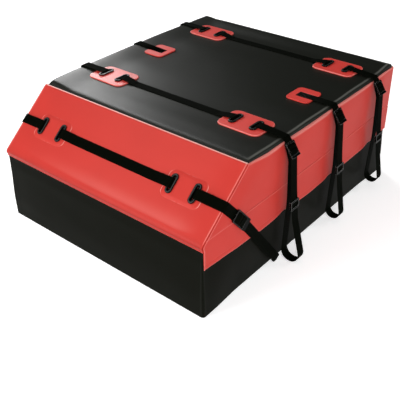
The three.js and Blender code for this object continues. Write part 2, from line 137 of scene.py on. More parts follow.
class Finish:
    """A material with one Principled shader, whose fixed values are given by the names of its sockets."""

    def __init__(self, name, **shader):
        self.material = bpy.data.materials.new(name)
        self.material.use_nodes = True
        self.tree = self.material.node_tree
        self.shader = self.tree.nodes["Principled BSDF"]
        for socket, value in shader.items():
            self.shader.inputs[socket.replace("_", " ")].default_value = value

    def node(self, kind, inputs=(), output=0, stops=(), **settings):
        """Any node: its settings, the values or links of its sockets, in order or by name, and the output."""
        made = self.tree.nodes.new("ShaderNode" + kind)
        for name, value in settings.items():
            setattr(made, name, value)
        for stop, (place, shade) in zip(made.color_ramp.elements if stops else (), stops):
            stop.position = place
            stop.color = shade
        pairs = inputs.items() if isinstance(inputs, dict) else enumerate(inputs)
        for socket, value in pairs:
            if isinstance(value, Value):
                self.tree.links.new(value.socket, made.inputs[socket])
            else:
                made.inputs[socket].default_value = value
        return Value(self, made.outputs[output])

    def noise(self, place, scale, detail=2.0):
        """Smooth noise from 0 to 1 with `scale` waves to the metre."""
        return self.node("TexNoise", {"Vector": place, "Scale": scale, "Detail": detail})

    def mix(self, share, first, second):
        """A colour between two others."""
        return self.node("Mix", {0: share, 6: first, 7: second}, output=2, data_type="RGBA")

    def wave(self, distance, period):
        """0 to 1 and back once in each period of a distance, both in metres."""
        turns = distance * (2 * math.pi / period)
        return turns.math("SINE") * 0.5 + 0.5

    def separate(self, vector):
        """The X, Y and Z of a vector."""
        made = self.node("SeparateXYZ", [vector])
        outputs = made.socket.node.outputs
        return [Value(self, outputs[axis]) for axis in range(3)]

    def set(self, **sockets):
        """Links values to sockets of the shader."""
        for socket, value in sockets.items():
            self.tree.links.new(value.socket, self.shader.inputs[socket.replace("_", " ")])

    def bump(self, height, distance, strength=1.0):
        """A normal from a height of 0 to 1 that stands for `distance` metres."""
        return self.node("Bump", {"Height": height, "Distance": distance, "Strength": strength})


# %% Colours in screen values


def linear(red, green, blue):
    """A colour in screen values, 0 to 255, as the linear light that shaders use."""
    shades = [v / 255 for v in (red, green, blue)]
    return [v / 12.92 if v <= 0.04045 else ((v + 0.055) / 1.055) ** 2.4 for v in shades] + [1.0]


def shaded(colour, share, added=0.0):
    """A colour times a share, plus a little light where wanted."""
    return [v * share + added for v in colour[:3]] + [1.0]


print("a mid grey in linear light:", round(linear(128, 128, 128)[0], 3))

# %% [markdown]
# ## Coated cloth
#
# The bag is PVC-coated cloth. The coating is smooth and a little glossy, and the threads under it show as
# a fine even grain. A weave could be modelled, but at 1.4 mm a thread a bump map does it. The maps read
# the UV map, which is in metres along the cloth, so the grain follows each panel round its corners.
# Thin highlights on folds, welds, rims and hems are painted in as a paler colour, and the shade in the band
# just over the front hem is painted in as a darker one. The meshes carry both as an attribute named "edge",
# above 0 for painted highlight and below 0 for painted shade.

# %% Coated cloth
THREAD = 0.0014
THREAD_HEIGHT = 0.00004
MOTTLE_WAVES = 7
SCUFF_WAVES = 60


def coated_cloth(name, colour, painted_highlight_colour, roughness, specular):
    """Cloth with a coating: mottled, grained by its threads, with painted highlight and shade where "edge"
    says so.
    """
    cloth = Finish(name, Specular_IOR_Level=specular, IOR=1.5)
    place = cloth.node("TexCoord", output="Object")
    along, up, _ = cloth.separate(cloth.node("UVMap", uv_map="cloth"))
    edge = cloth.node("Attribute", output="Fac", attribute_name="edge")
    mottle = cloth.noise(place, MOTTLE_WAVES, 4)
    scuff = cloth.noise(place, SCUFF_WAVES, 6)
    threads = cloth.wave(along, THREAD) * cloth.wave(up, THREAD)
    clean = cloth.mix(mottle, colour, shaded(colour, 0.88))
    # Painted shade: the colour darkens where "edge" is below 0. Painted highlight: it turns paler where
    # "edge" is above 0.
    shade = cloth.mix((edge * -1).clamped(), clean, shaded(colour, 0.55))
    cloth.set(
        Base_Color=cloth.mix(edge.clamped(), shade, painted_highlight_colour),
        Roughness=(mottle - 0.5) * 0.08 + (scuff - 0.5) * 0.06 + roughness,
        Normal=cloth.bump(threads * 0.5 + scuff * 0.5, THREAD_HEIGHT, 0.4),
    )
    return cloth.material


# The second colour of each cloth is the colour of its painted highlights.
red_cloth = coated_cloth("red_coated_cloth", linear(196, 56, 48), linear(252, 196, 186), 0.4, 0.09)
# The patch sheet is the red cloth painted lighter, as painted light for the patches on the top, which catch
# more light and sheen.
lit_patch_sheet = coated_cloth("red_patch_sheet_painted_lighter", linear(222, 64, 56), linear(252, 170, 160), 0.38, 0.5)
panel_cloth = coated_cloth("black_panel_cloth", linear(23, 25, 20), linear(122, 122, 116), 0.36, 0.12)
tub_cloth = coated_cloth("black_tub_cloth", linear(15, 16, 11), linear(36, 37, 33), 0.42, 0.016)
print("cloth finishes made, thread", THREAD * 1000, "mm")

# %% [markdown]
# ## Webbing
#
# Polyester webbing is woven in ribs across its width, with a plain flat edge on both sides. The ribs are
# too fine to model on metres of strap, so the UV map carries the distance across and along each strap, and
# waves of those two make the ribs, the zigzag between them and the edge.

# %% Webbing
WEBBING_WIDTH = 38
RIB = 0.0022
STRIPE = 0.008
RIB_HEIGHT = 0.00025
EDGE_STARTS = 0.0026
EDGE_FULL = 0.0016


def woven_strap(name, colour, tone):
    """Ribs that lean one way and then the other in stripes, and a smooth edge on both sides."""
    strap = Finish(name, Specular_IOR_Level=0.015)
    across, along, _ = strap.separate(strap.node("UVMap", uv_map="cloth"))
    place = strap.node("TexCoord", output="Object")
    lean = strap.node("Math", [across, STRIPE / 2], operation="PINGPONG")
    ribs = strap.wave(along + lean * 0.9, RIB)
    stripes = strap.wave(across, STRIPE)
    half = WEBBING_WIDTH / 2 / 1000
    border = strap.node("MapRange", {0: across.math("ABSOLUTE"), 1: half - EDGE_STARTS, 2: half - EDGE_FULL})
    fuzz = strap.noise(place, 900, 2)
    worn_here = (ribs * 0.4 + border * 0.5 + fuzz * 0.35 - 0.15).clamped()
    height = ribs * (1 - border) * 0.7 + stripes * 0.15 + fuzz * 0.15
    strap.set(
        Base_Color=strap.mix(worn_here, colour, tone),
        Roughness=fuzz * 0.15 + 0.66,
        Normal=strap.bump(height, RIB_HEIGHT, 0.6),
    )
    return strap.material


webbing = woven_strap("black_webbing", linear(2, 4, 1), linear(10, 12, 7))
print("webbing finish made, rib", RIB * 1000, "mm")

# %% Sewing thread


def sewing_thread(name):
    """Twisted dark thread: one noise gives its shade, its roughness and its twist."""
    thread = Finish(name, Specular_IOR_Level=0.3)
    place = thread.node("TexCoord", output="Object")
    twist = thread.noise(place, 700)
    thread.set(
        Base_Color=thread.mix(twist, linear(24, 24, 22), linear(52, 52, 48)),
        Roughness=twist * 0.2 + 0.6,
        Normal=thread.bump(twist, 0.0001),
    )
    return thread.material


dark_thread = sewing_thread("sewing_thread")
print("thread finish made")

# %% [markdown]
# ## Moulded plastic and metal
#
# Buckles, sliders and slot rings are moulded in black acetal. It is glossy with a very slight orange peel
# from the mould, and handling leaves it a little duller in places. A highlight is painted on the rounded
# edges as a paler colour, carried by the attribute "edge", as on the cloth. The zip has a ribbed tape and
# plated sliders.

# %% Moulded plastic
# The colour of the painted highlight on rounded edges and ring crowns.
PAINTED_PLASTIC_HIGHLIGHT = linear(190, 190, 186)
PEEL_HEIGHT = 0.00003


def moulded(name, colour, roughness, specular):
    """Moulded plastic: patches dulled by hands, a fine peel, and a painted highlight where "edge" says so."""
    plastic = Finish(name, Specular_IOR_Level=specular)
    place = plastic.node("TexCoord", output="Object")
    handled = plastic.noise(place, 40, 3)
    peel = plastic.noise(place, 900, 1)
    edge = plastic.node("Attribute", output="Fac", attribute_name="edge")
    surface = plastic.mix(handled * 0.5, colour, shaded(colour, 1.5, 0.0006))
    plastic.set(
        Base_Color=plastic.mix(edge, surface, PAINTED_PLASTIC_HIGHLIGHT),
        Roughness=(handled - 0.5) * 0.16 + roughness,
        Normal=plastic.bump(peel, PEEL_HEIGHT, 0.5),
    )
    return plastic.material


buckle_plastic = moulded("buckle_plastic", linear(3, 4, 3), 0.24, 0.07)
ring_plastic = moulded("ring_plastic", linear(3, 4, 3), 0.2, 0.14)
print("plastic finishes made")

# %% Zip tape and plated metal
TAPE_RIB = 0.001


def zip_tape(name):
    """Woven tape with ribs one above the other."""
    tape = Finish(name, Specular_IOR_Level=0.2)
    place = tape.node("TexCoord", output="Object")
    _, _, height = tape.separate(place)
    ribs = tape.wave(height, TAPE_RIB)
    tape.set(
        Base_Color=tape.mix(ribs, linear(16, 16, 16), linear(26, 26, 25)),
        Roughness=tape.noise(place, 300) * 0.2 + 0.6,
        Normal=tape.bump(ribs, TAPE_RIB / 10, 0.5),
    )
    return tape.material


def plated_metal(name):
    """Brushed plating: one fine noise gives its shade, its roughness and its height."""
    metal = Finish(name, Metallic=1.0)
    place = metal.node("TexCoord", output="Object")
    brushed = metal.noise(place, 400, 5)
    metal.set(
        Base_Color=metal.mix(brushed, linear(150, 150, 148), linear(190, 190, 187)),
        Roughness=brushed * 0.2 + 0.25,
        Normal=metal.bump(brushed, PEEL_HEIGHT, 0.4),
    )
    return metal.material


def only_material(mesh, material):
    """Makes a material the only one of a mesh."""
    mesh.materials.clear()
    mesh.materials.append(material)


zip_cloth = zip_tape("zip_tape")
zip_metal = plated_metal("zip_metal")
zip_nodes = [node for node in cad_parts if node.startswith("zip_")]
for node in zip_nodes:
    only_material(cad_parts[node].data, zip_metal if "slider" in node else zip_cloth)
print("tape and metal finishes made, on zip nodes:", len(zip_nodes))

# %% [markdown]
# ## From numbers to a mesh
#
# Almost every surface here is a grid of points: one way round or along, the other way across. The helper
# turns the grid into quads, closes it where it should close, and fills the open ends with one flat face.
# A UV map in metres and, where wanted, the "edge" attribute go on at the same time.

# %% Faces of a grid


def grid_faces(count_u, count_v, closed_u, closed_v):
    """The four corners of every quad of a grid, as indices, and which rows and columns they come from."""
    u = np.arange(count_u if closed_u else count_u - 1)
    v = np.arange(count_v if closed_v else count_v - 1)
    u, v = (a.ravel() for a in np.meshgrid(u, v, indexing="ij"))
    steps = ((0, 0), (1, 0), (1, 1), (0, 1))
    corners_u = np.stack([u + du for du, _ in steps], 1)
    corners_v = np.stack([v + dv for _, dv in steps], 1)
    return (corners_u % count_u) * count_v + corners_v % count_v, corners_u, corners_v


print("faces of a grid of 4 by 3 points, open:", len(grid_faces(4, 3, False, False)[0]))

# %% A piece from its grids
TO_METRES = 0.001


def smooth_faces(mesh):
    """Smooth shading on every face."""
    mesh.polygons.foreach_set("use_smooth", np.ones(len(mesh.polygons), bool))


def make_piece(name, parts, material):
    """One object from several grids.

    Each part is a dict with its points and, if wanted, a uv map with one column and level more, an edge
    value for each point, caps as rings of indices, which directions close, and flip to turn its faces round.
    """
    vertices, faces, uvs, edges = [], [], [], []
    start = 0
    for part in parts:
        points = part["points"]
        count_u, count_v = points.shape[:2]
        closed_u, closed_v = part.get("closed_u", False), part.get("closed_v", False)
        quads, corners_u, corners_v = grid_faces(count_u, count_v, closed_u, closed_v)
        uv = part.get("uv", np.zeros((count_u + 1, count_v + 1, 2)))
        face_uv = uv[corners_u, corners_v]
        turn = -1 if part.get("flip", False) else 1
        faces += (quads[:, ::turn] + start).tolist()
        uvs.append(face_uv[:, ::turn].reshape(-1, 2))
        flat = points.reshape(-1, 3)
        for ring in part.get("caps", ()):
            ring = np.asarray(ring)[::turn]
            faces.append((ring + start).tolist())
            uvs.append(flat[ring, :2])
        vertices.append(flat)
        edges.append(part.get("edge", np.zeros((count_u, count_v))).ravel())
        start += count_u * count_v
    mesh = bpy.data.meshes.new(name)
    mesh.from_pydata((np.concatenate(vertices) * TO_METRES).tolist(), [], faces)
    layer = mesh.uv_layers.new(name="cloth")
    layer.data.foreach_set("uv", (np.concatenate(uvs) * TO_METRES).astype(np.float32).ravel())
    attribute = mesh.attributes.new("edge", "FLOAT", "POINT")
    attribute.data.foreach_set("value", np.concatenate(edges).astype(np.float32))
    smooth_faces(mesh)
    only_material(mesh, material)
    return new_object(name, mesh)


def fit(piece, body, finish_slot, *nodes):
    """The piece rides on a body and stands for solids. finish_slot is not used."""
    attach(piece, body)
    if nodes:
        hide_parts(*nodes)


# %% [markdown]
# ## The outline of the bag
#
# Seen from above, the bag is a rectangle with small round corners at every height. Only the front edge
# moves: above the fold it runs back along the slope of the nose. So one list of columns round the outline
# serves the tub, the cover and the flap. Columns lie close together at the corners, because a welded seam
# 2 mm wide runs up each of them, and far apart on the flat walls.
#
# Two curves shape nearly everything: an S that leads from one value to another, and a bell for what fades
# on both sides.

# %% Sizes of the bag and two smooth curves
BAG_WIDTH = 1000
BAG_LENGTH = 1240
BAG_HEIGHT = 494
FOLD_HEIGHT = 294
NOSE_SETBACK = 236
NOSE_CLIMB = 150
FOLD_SOFTNESS = 9
HEM_CURL = 6
FRONT_HEM = 272.3
FLAP_TOP = 313
FLAP_BOTTOM = 200
CORNER_RADIUS = 6
ROWS = {"front": -170, "middle": 142.5, "rear": 455}
SLOPE = math.atan2(BAG_HEIGHT - FOLD_HEIGHT, NOSE_SETBACK)


def smoothstep(value, low, high):
    """0 below low, 1 above high, and an even S between them."""
    share = np.clip((value - low) / (high - low), 0, 1)
    return share * share * (3 - 2 * share)


def bell(value, middle, width):
    """A bump of height 1 round a middle."""
    return np.exp(-(((value - middle) / width) ** 2))


def front_at(height):
    """How far the front edge lies from the middle: level with the wall, then back along the slope.

    Within the softness of the fold the edge follows a parabola that touches both straight parts. Below
    the fold the cloth curls in a little, down to its hem.
    """
    over = height - FOLD_HEIGHT
    run = NOSE_SETBACK / (BAG_HEIGHT - FOLD_HEIGHT)
    soft = np.maximum(over + FOLD_SOFTNESS, 0) ** 2 / (4 * FOLD_SOFTNESS)
    curl = HEM_CURL * smoothstep(-over, -2, 19)
    return BAG_LENGTH / 2 - run * np.where(over > FOLD_SOFTNESS, over, soft) - curl


print("slope of the nose:", round(math.degrees(SLOPE), 1), "degrees")

# %% Columns round the outline
ARC_STEPS = np.array([0, 0.45, 0.9, 1.4, 2.0, 2.8, 3.7])
WALL_STEPS = np.array([0, 2.5, 6, 11, 18, 28, 42, 60])
FLAT_COUNTS = (66, 54, 66, 54)
CORNERS = np.array([(1, -1), (1, 1), (-1, 1), (-1, -1)])


def outline_columns():
    """Columns counter-clockwise from the right front seam: right side, rear, left side, front.

    Each has its shares p across and q along between the corner centres (-1 to 1), an offset from there,
    and how far it belongs to the front (1) or to the other walls (0). A side starts and ends half way round
    a corner, with steps along the arc, then steps along the wall, then even columns between the two.
    """
    rows = []
    for side, flat_count in enumerate(FLAT_COUNTS):
        here, there = CORNERS[side], CORNERS[(side + 1) % 4]
        out = math.pi / 2 * side
        outward = np.array([math.cos(out), math.sin(out)])
        along = np.array([-outward[1], outward[0]])
        first = [out - math.pi / 4 + step / CORNER_RADIUS for step in ARC_STEPS]
        last = [out + math.pi / 4 - step / CORNER_RADIUS for step in ARC_STEPS[:0:-1]]
        rows += [[*here, *(CORNER_RADIUS * np.array([math.cos(a), math.sin(a)])), a] for a in first]
        rows += [[*here, *(CORNER_RADIUS * outward + step * along), out] for step in WALL_STEPS[:-1]]
        for share in np.linspace(0, 1, flat_count + 1):
            offset = CORNER_RADIUS * outward + WALL_STEPS[-1] * (1 - 2 * share) * along
            rows.append([*(here + share * (there - here)), *offset, out])
        rows += [[*there, *(CORNER_RADIUS * outward - step * along), out] for step in WALL_STEPS[-2::-1]]
        rows += [[*there, *(CORNER_RADIUS * np.array([math.cos(a), math.sin(a)])), a] for a in last]
    p, q, x, y, angle = np.array(rows).T
    front = smoothstep(-np.sin(angle), 0.0, 1.0)
    return {"p": p, "q": q, "x": x, "y": y, "angle": angle, "front": front}


columns = outline_columns()
seam_columns = np.flatnonzero(np.isclose(np.abs(np.cos(2 * columns["angle"])), 0, atol=1e-6))
is_front = columns["front"][:, None]
column_angle = columns["angle"][:, None]
outward = np.stack([np.cos(columns["angle"]), np.sin(columns["angle"]), 0 * columns["angle"]], 1)
print("columns:", len(columns["p"]), "corner seams at", seam_columns.tolist())

# %% Levels round the outline


def around(side_inset, height, front_reach=None, front_height=None):
    """Points of the outline for a list of levels: an array of columns by levels by 3.

    side_inset is the distance in from the side and rear walls, front_reach the distance of the front edge
    from the middle. A column is its corner centre, weighed by its shares, plus its offset.
    """
    side_inset, height = np.asarray(side_inset, float), np.asarray(height, float)
    front_reach = front_at(height) - side_inset if front_reach is None else np.asarray(front_reach)
    front_height = height if front_height is None else np.asarray(front_height)
    centre_x = BAG_WIDTH / 2 - side_inset - CORNER_RADIUS
    centre_rear = BAG_LENGTH / 2 - side_inset - CORNER_RADIUS
    centre_front = CORNER_RADIUS - front_reach
    p, q = columns["p"][:, None], columns["q"][:, None]
    x = p * centre_x + columns["x"][:, None]
    y = (1 - q) / 2 * centre_front + (1 + q) / 2 * centre_rear + columns["y"][:, None]
    return np.stack([x, y, is_front * front_height + (1 - is_front) * height], 2)


fold_line = around([0], [FOLD_HEIGHT])[:, 0]
print("outline at the fold:", np.ptp(fold_line, axis=0)[:2].round(1).tolist(), "mm")

# %% [markdown]
# ## How filled cloth moves out of its plane
#
# A filled bag is never flat: panels swell between their seams, a weld pulls the cloth in, and a strap
# presses on the edge it crosses. Cloth simulation could do it, but the real bag is stretched tight, so its
# shape is a few smooth terms added together. They move each point along the surface's own normal.

# %% Normals of a grid


def normals_of(points):
    """Normals of a closed grid: the cross product of its differences along columns and along levels."""
    along = np.roll(points, -1, 0) - np.roll(points, 1, 0)
    normal = np.cross(along, np.gradient(points, axis=1))
    return normal / np.maximum(np.linalg.norm(normal, axis=2, keepdims=True), 1e-9)


def swell(points, lift):
    """Each point moved along its normal by its lift."""
    return points + lift[..., None] * normals_of(points)


wall_normal = normals_of(around([0, 0], [0, 100]))[len(ARC_STEPS) + len(WALL_STEPS), 0]
print("normal of the right wall:", wall_normal.round(2).tolist())

# %% Distances along the cloth


def walked_along(points, axis=0):
    """Distance walked from the first point along one axis of a grid, or along a path."""
    steps = np.linalg.norm(np.diff(points, axis=axis), axis=-1)
    start = np.zeros_like(np.take(steps, [0], axis))
    return np.concatenate([start, np.cumsum(steps, axis)], axis)


def all_round(points):
    """The grid or outline with its first column again at the end."""
    return np.concatenate([points, points[:1]])


def extended(uv, mode="edge"):
    """One more column and level, repeated or brought round, for the faces that close a grid."""
    return np.pad(uv, ((0, 1), (0, 1), (0, 0)), mode=mode)


def cloth_uv(points):
    """Distance round the outline, walked half way up, and distance up each column."""
    turn = all_round(points)
    along = walked_along(turn)
    along = np.repeat(along[:, along.shape[1] // 2, None], turn.shape[1], 1)
    return extended(np.stack([along, walked_along(turn, 1)], 2))


def from_seams(points):
    """Distance along each level from the nearest of the four corner seams."""
    walked = walked_along(all_round(points))
    seams = [*walked[seam_columns], walked[-1]]
    return np.min([np.abs(walked[:-1] - seam) for seam in seams], 0)


print("farthest from a corner seam:", round(float(from_seams(fold_line[:, None]).max())), "mm")

# %% Seams and strap marks


def weld(distance, depth, lip, width):
    """A welded seam: a groove with a raised lip on either side of it."""
    return lip * bell(distance, 3.2 * width, 1.5 * width) - depth * bell(distance, 0, 0.95 * width)


def seam_lips(points):
    """1 on the lips beside each corner seam, where a highlight is painted."""
    return bell(from_seams(points), 4.9, 1.6)


def row_marks(y, width):
    """1 under each row of straps, fading over a width on either side."""
    return sum(bell(y, row, width) for row in ROWS.values())


def side_seam(points):
    """Where the seam over the flap shows: not beside the nose, where the panel runs on."""
    return (1 - is_front) * smoothstep(points[..., 1], -490, -445)


print("mark 45 mm beside a row:", round(float(row_marks(ROWS["front"] + 45, 45)), 3))

# %% Bow of the walls
SIDE_BOW = 7
REAR_BOW = 4
BOW_ENDS = 140


def side_bow(x, y, z):
    """The load bows the long walls out: a half sine from end to end, pulled in a little under each strap.

    On the right it is most at the hem and least at the rim. The load lies to the left, where the rim bows
    too.
    """
    right = x > 0
    length = np.sin(np.pi * np.clip((y + BAG_LENGTH / 2) / BAG_LENGTH, 0.001, 1)) ** 0.8
    high = smoothstep(z, FLAP_TOP, BAG_HEIGHT - 10)
    reach = BOW_ENDS - np.where(right, 0, 60 * high)
    ends = smoothstep((y + front_at(z)) / reach, 0.02, 1) * smoothstep((BAG_LENGTH / 2 - y) / reach, 0.02, 1)
    most = SIDE_BOW + np.where(right, -2.5, 7.5) * high
    return most * length * ends * (1 - np.where(right, 0.42, 0.12) * row_marks(y, 40))


def wall_bow(points):
    """The long walls bow by side_bow and the rear wall by a half cosine across it. The front stays flat."""
    x, y, z = np.moveaxis(points, 2, 0)
    rear = REAR_BOW * np.cos(np.pi * x / BAG_WIDTH) * smoothstep(np.sin(column_angle), 0.7, 1)
    return side_bow(x, y, z) * np.abs(np.cos(column_angle)) + rear


print("bow at the middle of the right wall:", round(float(side_bow(500, 0, FLAP_TOP)), 1), "mm")

# %% Swelling of the red cloth
NOSE_PUFF = 2.6
SIDE_PUFF = 3.4
RIPPLE = 0.35
STRAP_PRESS = 2.2
FLAP_GROOVE = 0.9


def skin_lift(points):
    """How far the red cloth lies outside the plain outline, in millimetres.

    The nose puffs out above and below its strap, and the side walls between flap and rim, less under each
    strap. Two waves that cross make the slack ripple. Straps press the rim in, and the seams are welds.
    """
    y, z = points[..., 1], points[..., 2]
    seam = from_seams(points)
    climb = (z - FOLD_HEIGHT) / math.sin(SLOPE)
    under_strap = bell(climb, NOSE_CLIMB, 62)
    nose = NOSE_PUFF * smoothstep(climb, 5, 70) * smoothstep(climb, 300, 230) * (1 - under_strap)
    band = np.clip((z - FLAP_TOP) / (BAG_HEIGHT - 8 - FLAP_TOP), 0, 1)
    side = SIDE_PUFF * np.sin(np.pi * band) ** 0.8 * (1 - 0.45 * row_marks(y, 45))
    ripple = RIPPLE * np.sin(y / 41 + 1.3 * np.sin(z / 53)) * np.sin(z / 37 + y / 260)
    puffed = smoothstep(seam, 2, 90) * (is_front * nose + (1 - is_front) * (side + ripple))
    rim = smoothstep(z, BAG_HEIGHT - 60, BAG_HEIGHT - 12)
    pressed = -STRAP_PRESS * rim * row_marks(y, 34) * (1 - is_front)
    groove = -FLAP_GROOVE * bell(z, FLAP_TOP, 1.0) * side_seam(points)
    return puffed + wall_bow(points) + pressed + weld(seam, 2.4, 0.8, 1.4) + groove


fold_lift = skin_lift(fold_line[:, None])
print("cloth at the fold stands out by up to", fold_lift.max().round(1), "mm")

# %% [markdown]
# ## The red cover
#
# The cover is one shell: up the walls, round the fold and along the nose, over a narrow puffed rim, and down
# into the groove round the top panel. Front and sides follow different profiles with the same number of
# levels, so the grid joins them at the corners. `fillet` draws the rim. At the front the cover ends in a hem
# that curls in over the tub.

# %% Rim of the cover
RIM_HEIGHT = 491.5
RIM_WIDTH = 4.6
RIM_FOOT = 481
GROOVE_FRONT = 378


def fillet(before, corner, after, radius, steps):
    """Points of the arc that touches both legs of a corner.

    Its centre is on the line that halves the corner, radius / sin(half the angle) away.
    """
    before, corner, after = (np.asarray(v, float) for v in (before, corner, after))
    first = (before - corner) / np.linalg.norm(before - corner)
    second = (after - corner) / np.linalg.norm(after - corner)
    half = math.acos(np.clip(first @ second, -1, 1)) / 2
    middle = (first + second) / np.linalg.norm(first + second)
    centre = corner + middle * radius / math.sin(half)
    start = corner + first * radius / math.tan(half) - centre
    turn = (math.pi - 2 * half) * np.sign(second[0] * first[1] - second[1] * first[0])
    angle = turn * np.linspace(0, 1, steps + 1)[:, None]
    return centre + start * np.cos(angle) + np.array([-start[1], start[0]]) * np.sin(angle)


def rim_profile(outer_foot, outer_top, inner, outer_radius, inner_radius):
    """Up the outside, over the rim by two fillets, and down to the groove: (distance, height)."""
    corners = [(outer_foot, RIM_FOOT), (outer_top, RIM_HEIGHT), (inner, RIM_HEIGHT), (inner, RIM_FOOT)]
    outside = fillet(*corners[:3], outer_radius, 7)
    return np.concatenate([outside, fillet(*corners[1:], inner_radius, 5), corners[3:]])


side_rim = rim_profile(0, 0, RIM_WIDTH, 2.9, 1.4)
nose_rim = rim_profile(front_at(RIM_FOOT), front_at(RIM_HEIGHT), GROOVE_FRONT, 9, 2.6)
print("rim points:", len(side_rim), "and", len(nose_rim))

# %% Levels of the cover
NEAR_SEAM = np.array([0, 0.4, 0.8, 1.2, 1.7, 2.4, 3.4, 5, 8, 12])
HEM_SECTION = np.array([(9, 0), (1.5, 0), (0.5, 0.3), (0.05, 1.1)]) + (0, FRONT_HEM)

wall_heights = np.concatenate([
    FRONT_HEM + np.array([2.5, 4, 5, 6, 7, 8, 10]), np.linspace(287, 303, 10), [305, 308, 310.5, 312.4],
    FLAP_TOP + NEAR_SEAM, np.arange(333, 480, 7.5), [481, 483],
])
hem_in, hem_height = HEM_SECTION.T
side_inset = np.concatenate([hem_in, 0 * wall_heights, side_rim[:, 0]])
side_height = np.concatenate([hem_height, wall_heights, side_rim[:, 1]])
front_reach = np.concatenate([front_at(hem_height) - hem_in, front_at(wall_heights), nose_rim[:, 0]])
front_height = np.concatenate([hem_height, wall_heights, nose_rim[:, 1]])
cover_plain = around(side_inset, side_height, front_reach, front_height)
cover_levels = len(side_height)
print("cover grid:", cover_plain.shape[:2])

# %% [markdown]
# ## Slack in the cover
#
# Along the sides and the rear the rim is slack and sags below the height of the nose. Under the flap the
# side walls step in, because the flap lies over them.

# %% Sagging rim and tucked walls
RIM_SAG = 10.5
UNDER_FLAP = 4.0
FLAP_COLUMNS = np.arange(0, seam_columns[3] - 9)


def rim_sag(points):
    """How much lower the rim hangs: least at the nose, at the rear corners and at the straps."""
    x, y, z = np.moveaxis(points, 2, 0)
    starts = smoothstep(y, -390, np.where(x > 0, -270, -345))
    along = starts * (1 - 0.7 * smoothstep(y, 440, 560)) * (1 - 0.25 * row_marks(y, 45))
    return RIM_SAG * along * (1 - is_front) * smoothstep(z, 430, 484)


hem_weld = -0.5 * bell(cover_plain[..., 2], FRONT_HEM + 6, 1.0) * is_front
cover_points = swell(cover_plain, skin_lift(cover_plain) + hem_weld)
cover_points[..., 2] -= rim_sag(cover_plain)
under_flap = np.ix_(FLAP_COLUMNS[1:-1], np.flatnonzero(side_height < FLAP_TOP - 0.01))
cover_points[under_flap] -= UNDER_FLAP * outward[FLAP_COLUMNS[1:-1], None, :]
print("the rim sags by up to", rim_sag(cover_plain).max().round(1), "mm")

# %% [markdown]
# ## Painted light on the cover
#
# Thin highlights are painted as a paler colour on the lips of the corner seams, along the edge of the front
# hem and on the rims. Just over the hem runs a band of painted shade, and over that a faint painted sheen
# makes the nose a little paler again. Painted textures could show it, but bells of the height and the seam
# distance do.

# %% Where light and shade are painted on the cover
RIM_MIDDLE = cover_levels - 7.5


def painted_light_and_shade(points):
    """Above 0 for painted highlights on lips, hem and rims and the painted sheen over the fold. Below 0 for
    painted shade over the hem.
    """
    x, y, z = np.moveaxis(points, 2, 0)
    # Painted highlights on the seam lips and along the edge of the front hem.
    tone = 0.3 * seam_lips(points) + 0.8 * bell(z, FRONT_HEM, 1.5) * is_front
    # Painted shade: a darker band just over the front hem.
    tone -= 0.95 * bell(z, FRONT_HEM + 13, 13) * is_front
    # Painted sheen along the fold of the nose, strongest on its right half.
    painted_sheen_area = smoothstep(x, -480, 100) * smoothstep(-x, -470, -360)
    tone += (0.075 * bell(z, FRONT_HEM + 35, 21) + 0.012) * painted_sheen_area * is_front
    # Painted highlights along the crest of the nose rim and of the side rims.
    nose_rim_highlight = 0.9 * bell(np.arange(cover_levels), RIM_MIDDLE, 2.4)[None, :] * is_front
    side_rim_highlight = 0.3 * smoothstep(z, 485, 490.5) * (1 - is_front) * smoothstep(y, -384, -366)
    return np.clip(tone + nose_rim_highlight + side_rim_highlight, -1, 1)


cover_painted_light = painted_light_and_shade(cover_plain)
print("edge values:", cover_painted_light.min().round(2), "to", cover_painted_light.max().round(2))

# %% Cover shell


def level_ring(points, level):
    """The indices of one level of a grid, counter-clockwise seen from above."""
    count_u, count_v = points.shape[:2]
    return np.arange(count_u) * count_v + level


def shell(name, plain, points, edge, material):
    """A grid that closes round the bag, with a flat face under its first level and on its last one."""
    caps = [level_ring(points, 0)[::-1], level_ring(points, points.shape[1] - 1)]
    part = {"points": points, "closed_u": True, "uv": cloth_uv(plain), "edge": edge, "caps": caps}
    return make_piece(name, [part], material)


cover = shell("red_cover", cover_plain, cover_points, cover_painted_light, red_cloth)
fit(cover, "bag", "red_pvc_cloth", "upper_cover")
print("cover faces:", len(cover.data.polygons))

# %% [markdown]
# ## The rain flap
#
# A flap of the same cloth hangs over the zip, from its seam on the side walls round the rear. It ends at the
# right front corner and a little behind the left one. It is a closed strip 2.4 mm thick: down its face,
# round the lower edge, and up its back. It is lifted by the same terms as the cover, so the two meet along
# the seam without a gap. Then it stands a little proud, and waves.

# %% Section of the flap
FLAP_DEPTH = 2.4
HEM_DEPTH = 3.0
HEM_WELD = 217.5

face_heights = np.concatenate([
    FLAP_TOP - NEAR_SEAM, np.arange(293, 222, -8), HEM_WELD + np.array([2.4, 1.2, 0.6, 0, -0.6, -1.2, -2.4]),
    [211, 206, 203, 201.4],
])
lower_edge = np.array([
    (200.5, 0.4), (200.1, 1.2), (200.1, 1.9), (200.5, 2.6), (201.4, HEM_DEPTH), (216, HEM_DEPTH),
])
back = np.array([(219, FLAP_DEPTH), (240, FLAP_DEPTH), (275, FLAP_DEPTH), (FLAP_TOP - 0.5, FLAP_DEPTH)])
section = np.concatenate([np.stack([face_heights, 0 * face_heights], 1), lower_edge, back])
flap_height, flap_depth = section.T
flap_plain = around(0 * flap_height, flap_height)
print("flap section:", len(section), "points")

# %% How the flap hangs
FLAP_STEP = 1.1
FLAP_TUCK = 1.6
FLAP_DROP = 8


def away_from_bag(points):
    """The way the flap moves: level on the walls, and along its own normal where it runs on the slope."""
    level_out = np.repeat(outward[:, None, :], points.shape[1], 1)
    skewed_out = normals_of(points)
    skewed_out *= np.sign(np.sum(skewed_out * level_out, 2, keepdims=True))
    on_slope = (is_front > 0.02) & (points[..., 2] > FOLD_HEIGHT - FOLD_SOFTNESS)
    return np.where(on_slope[..., None], skewed_out, level_out)


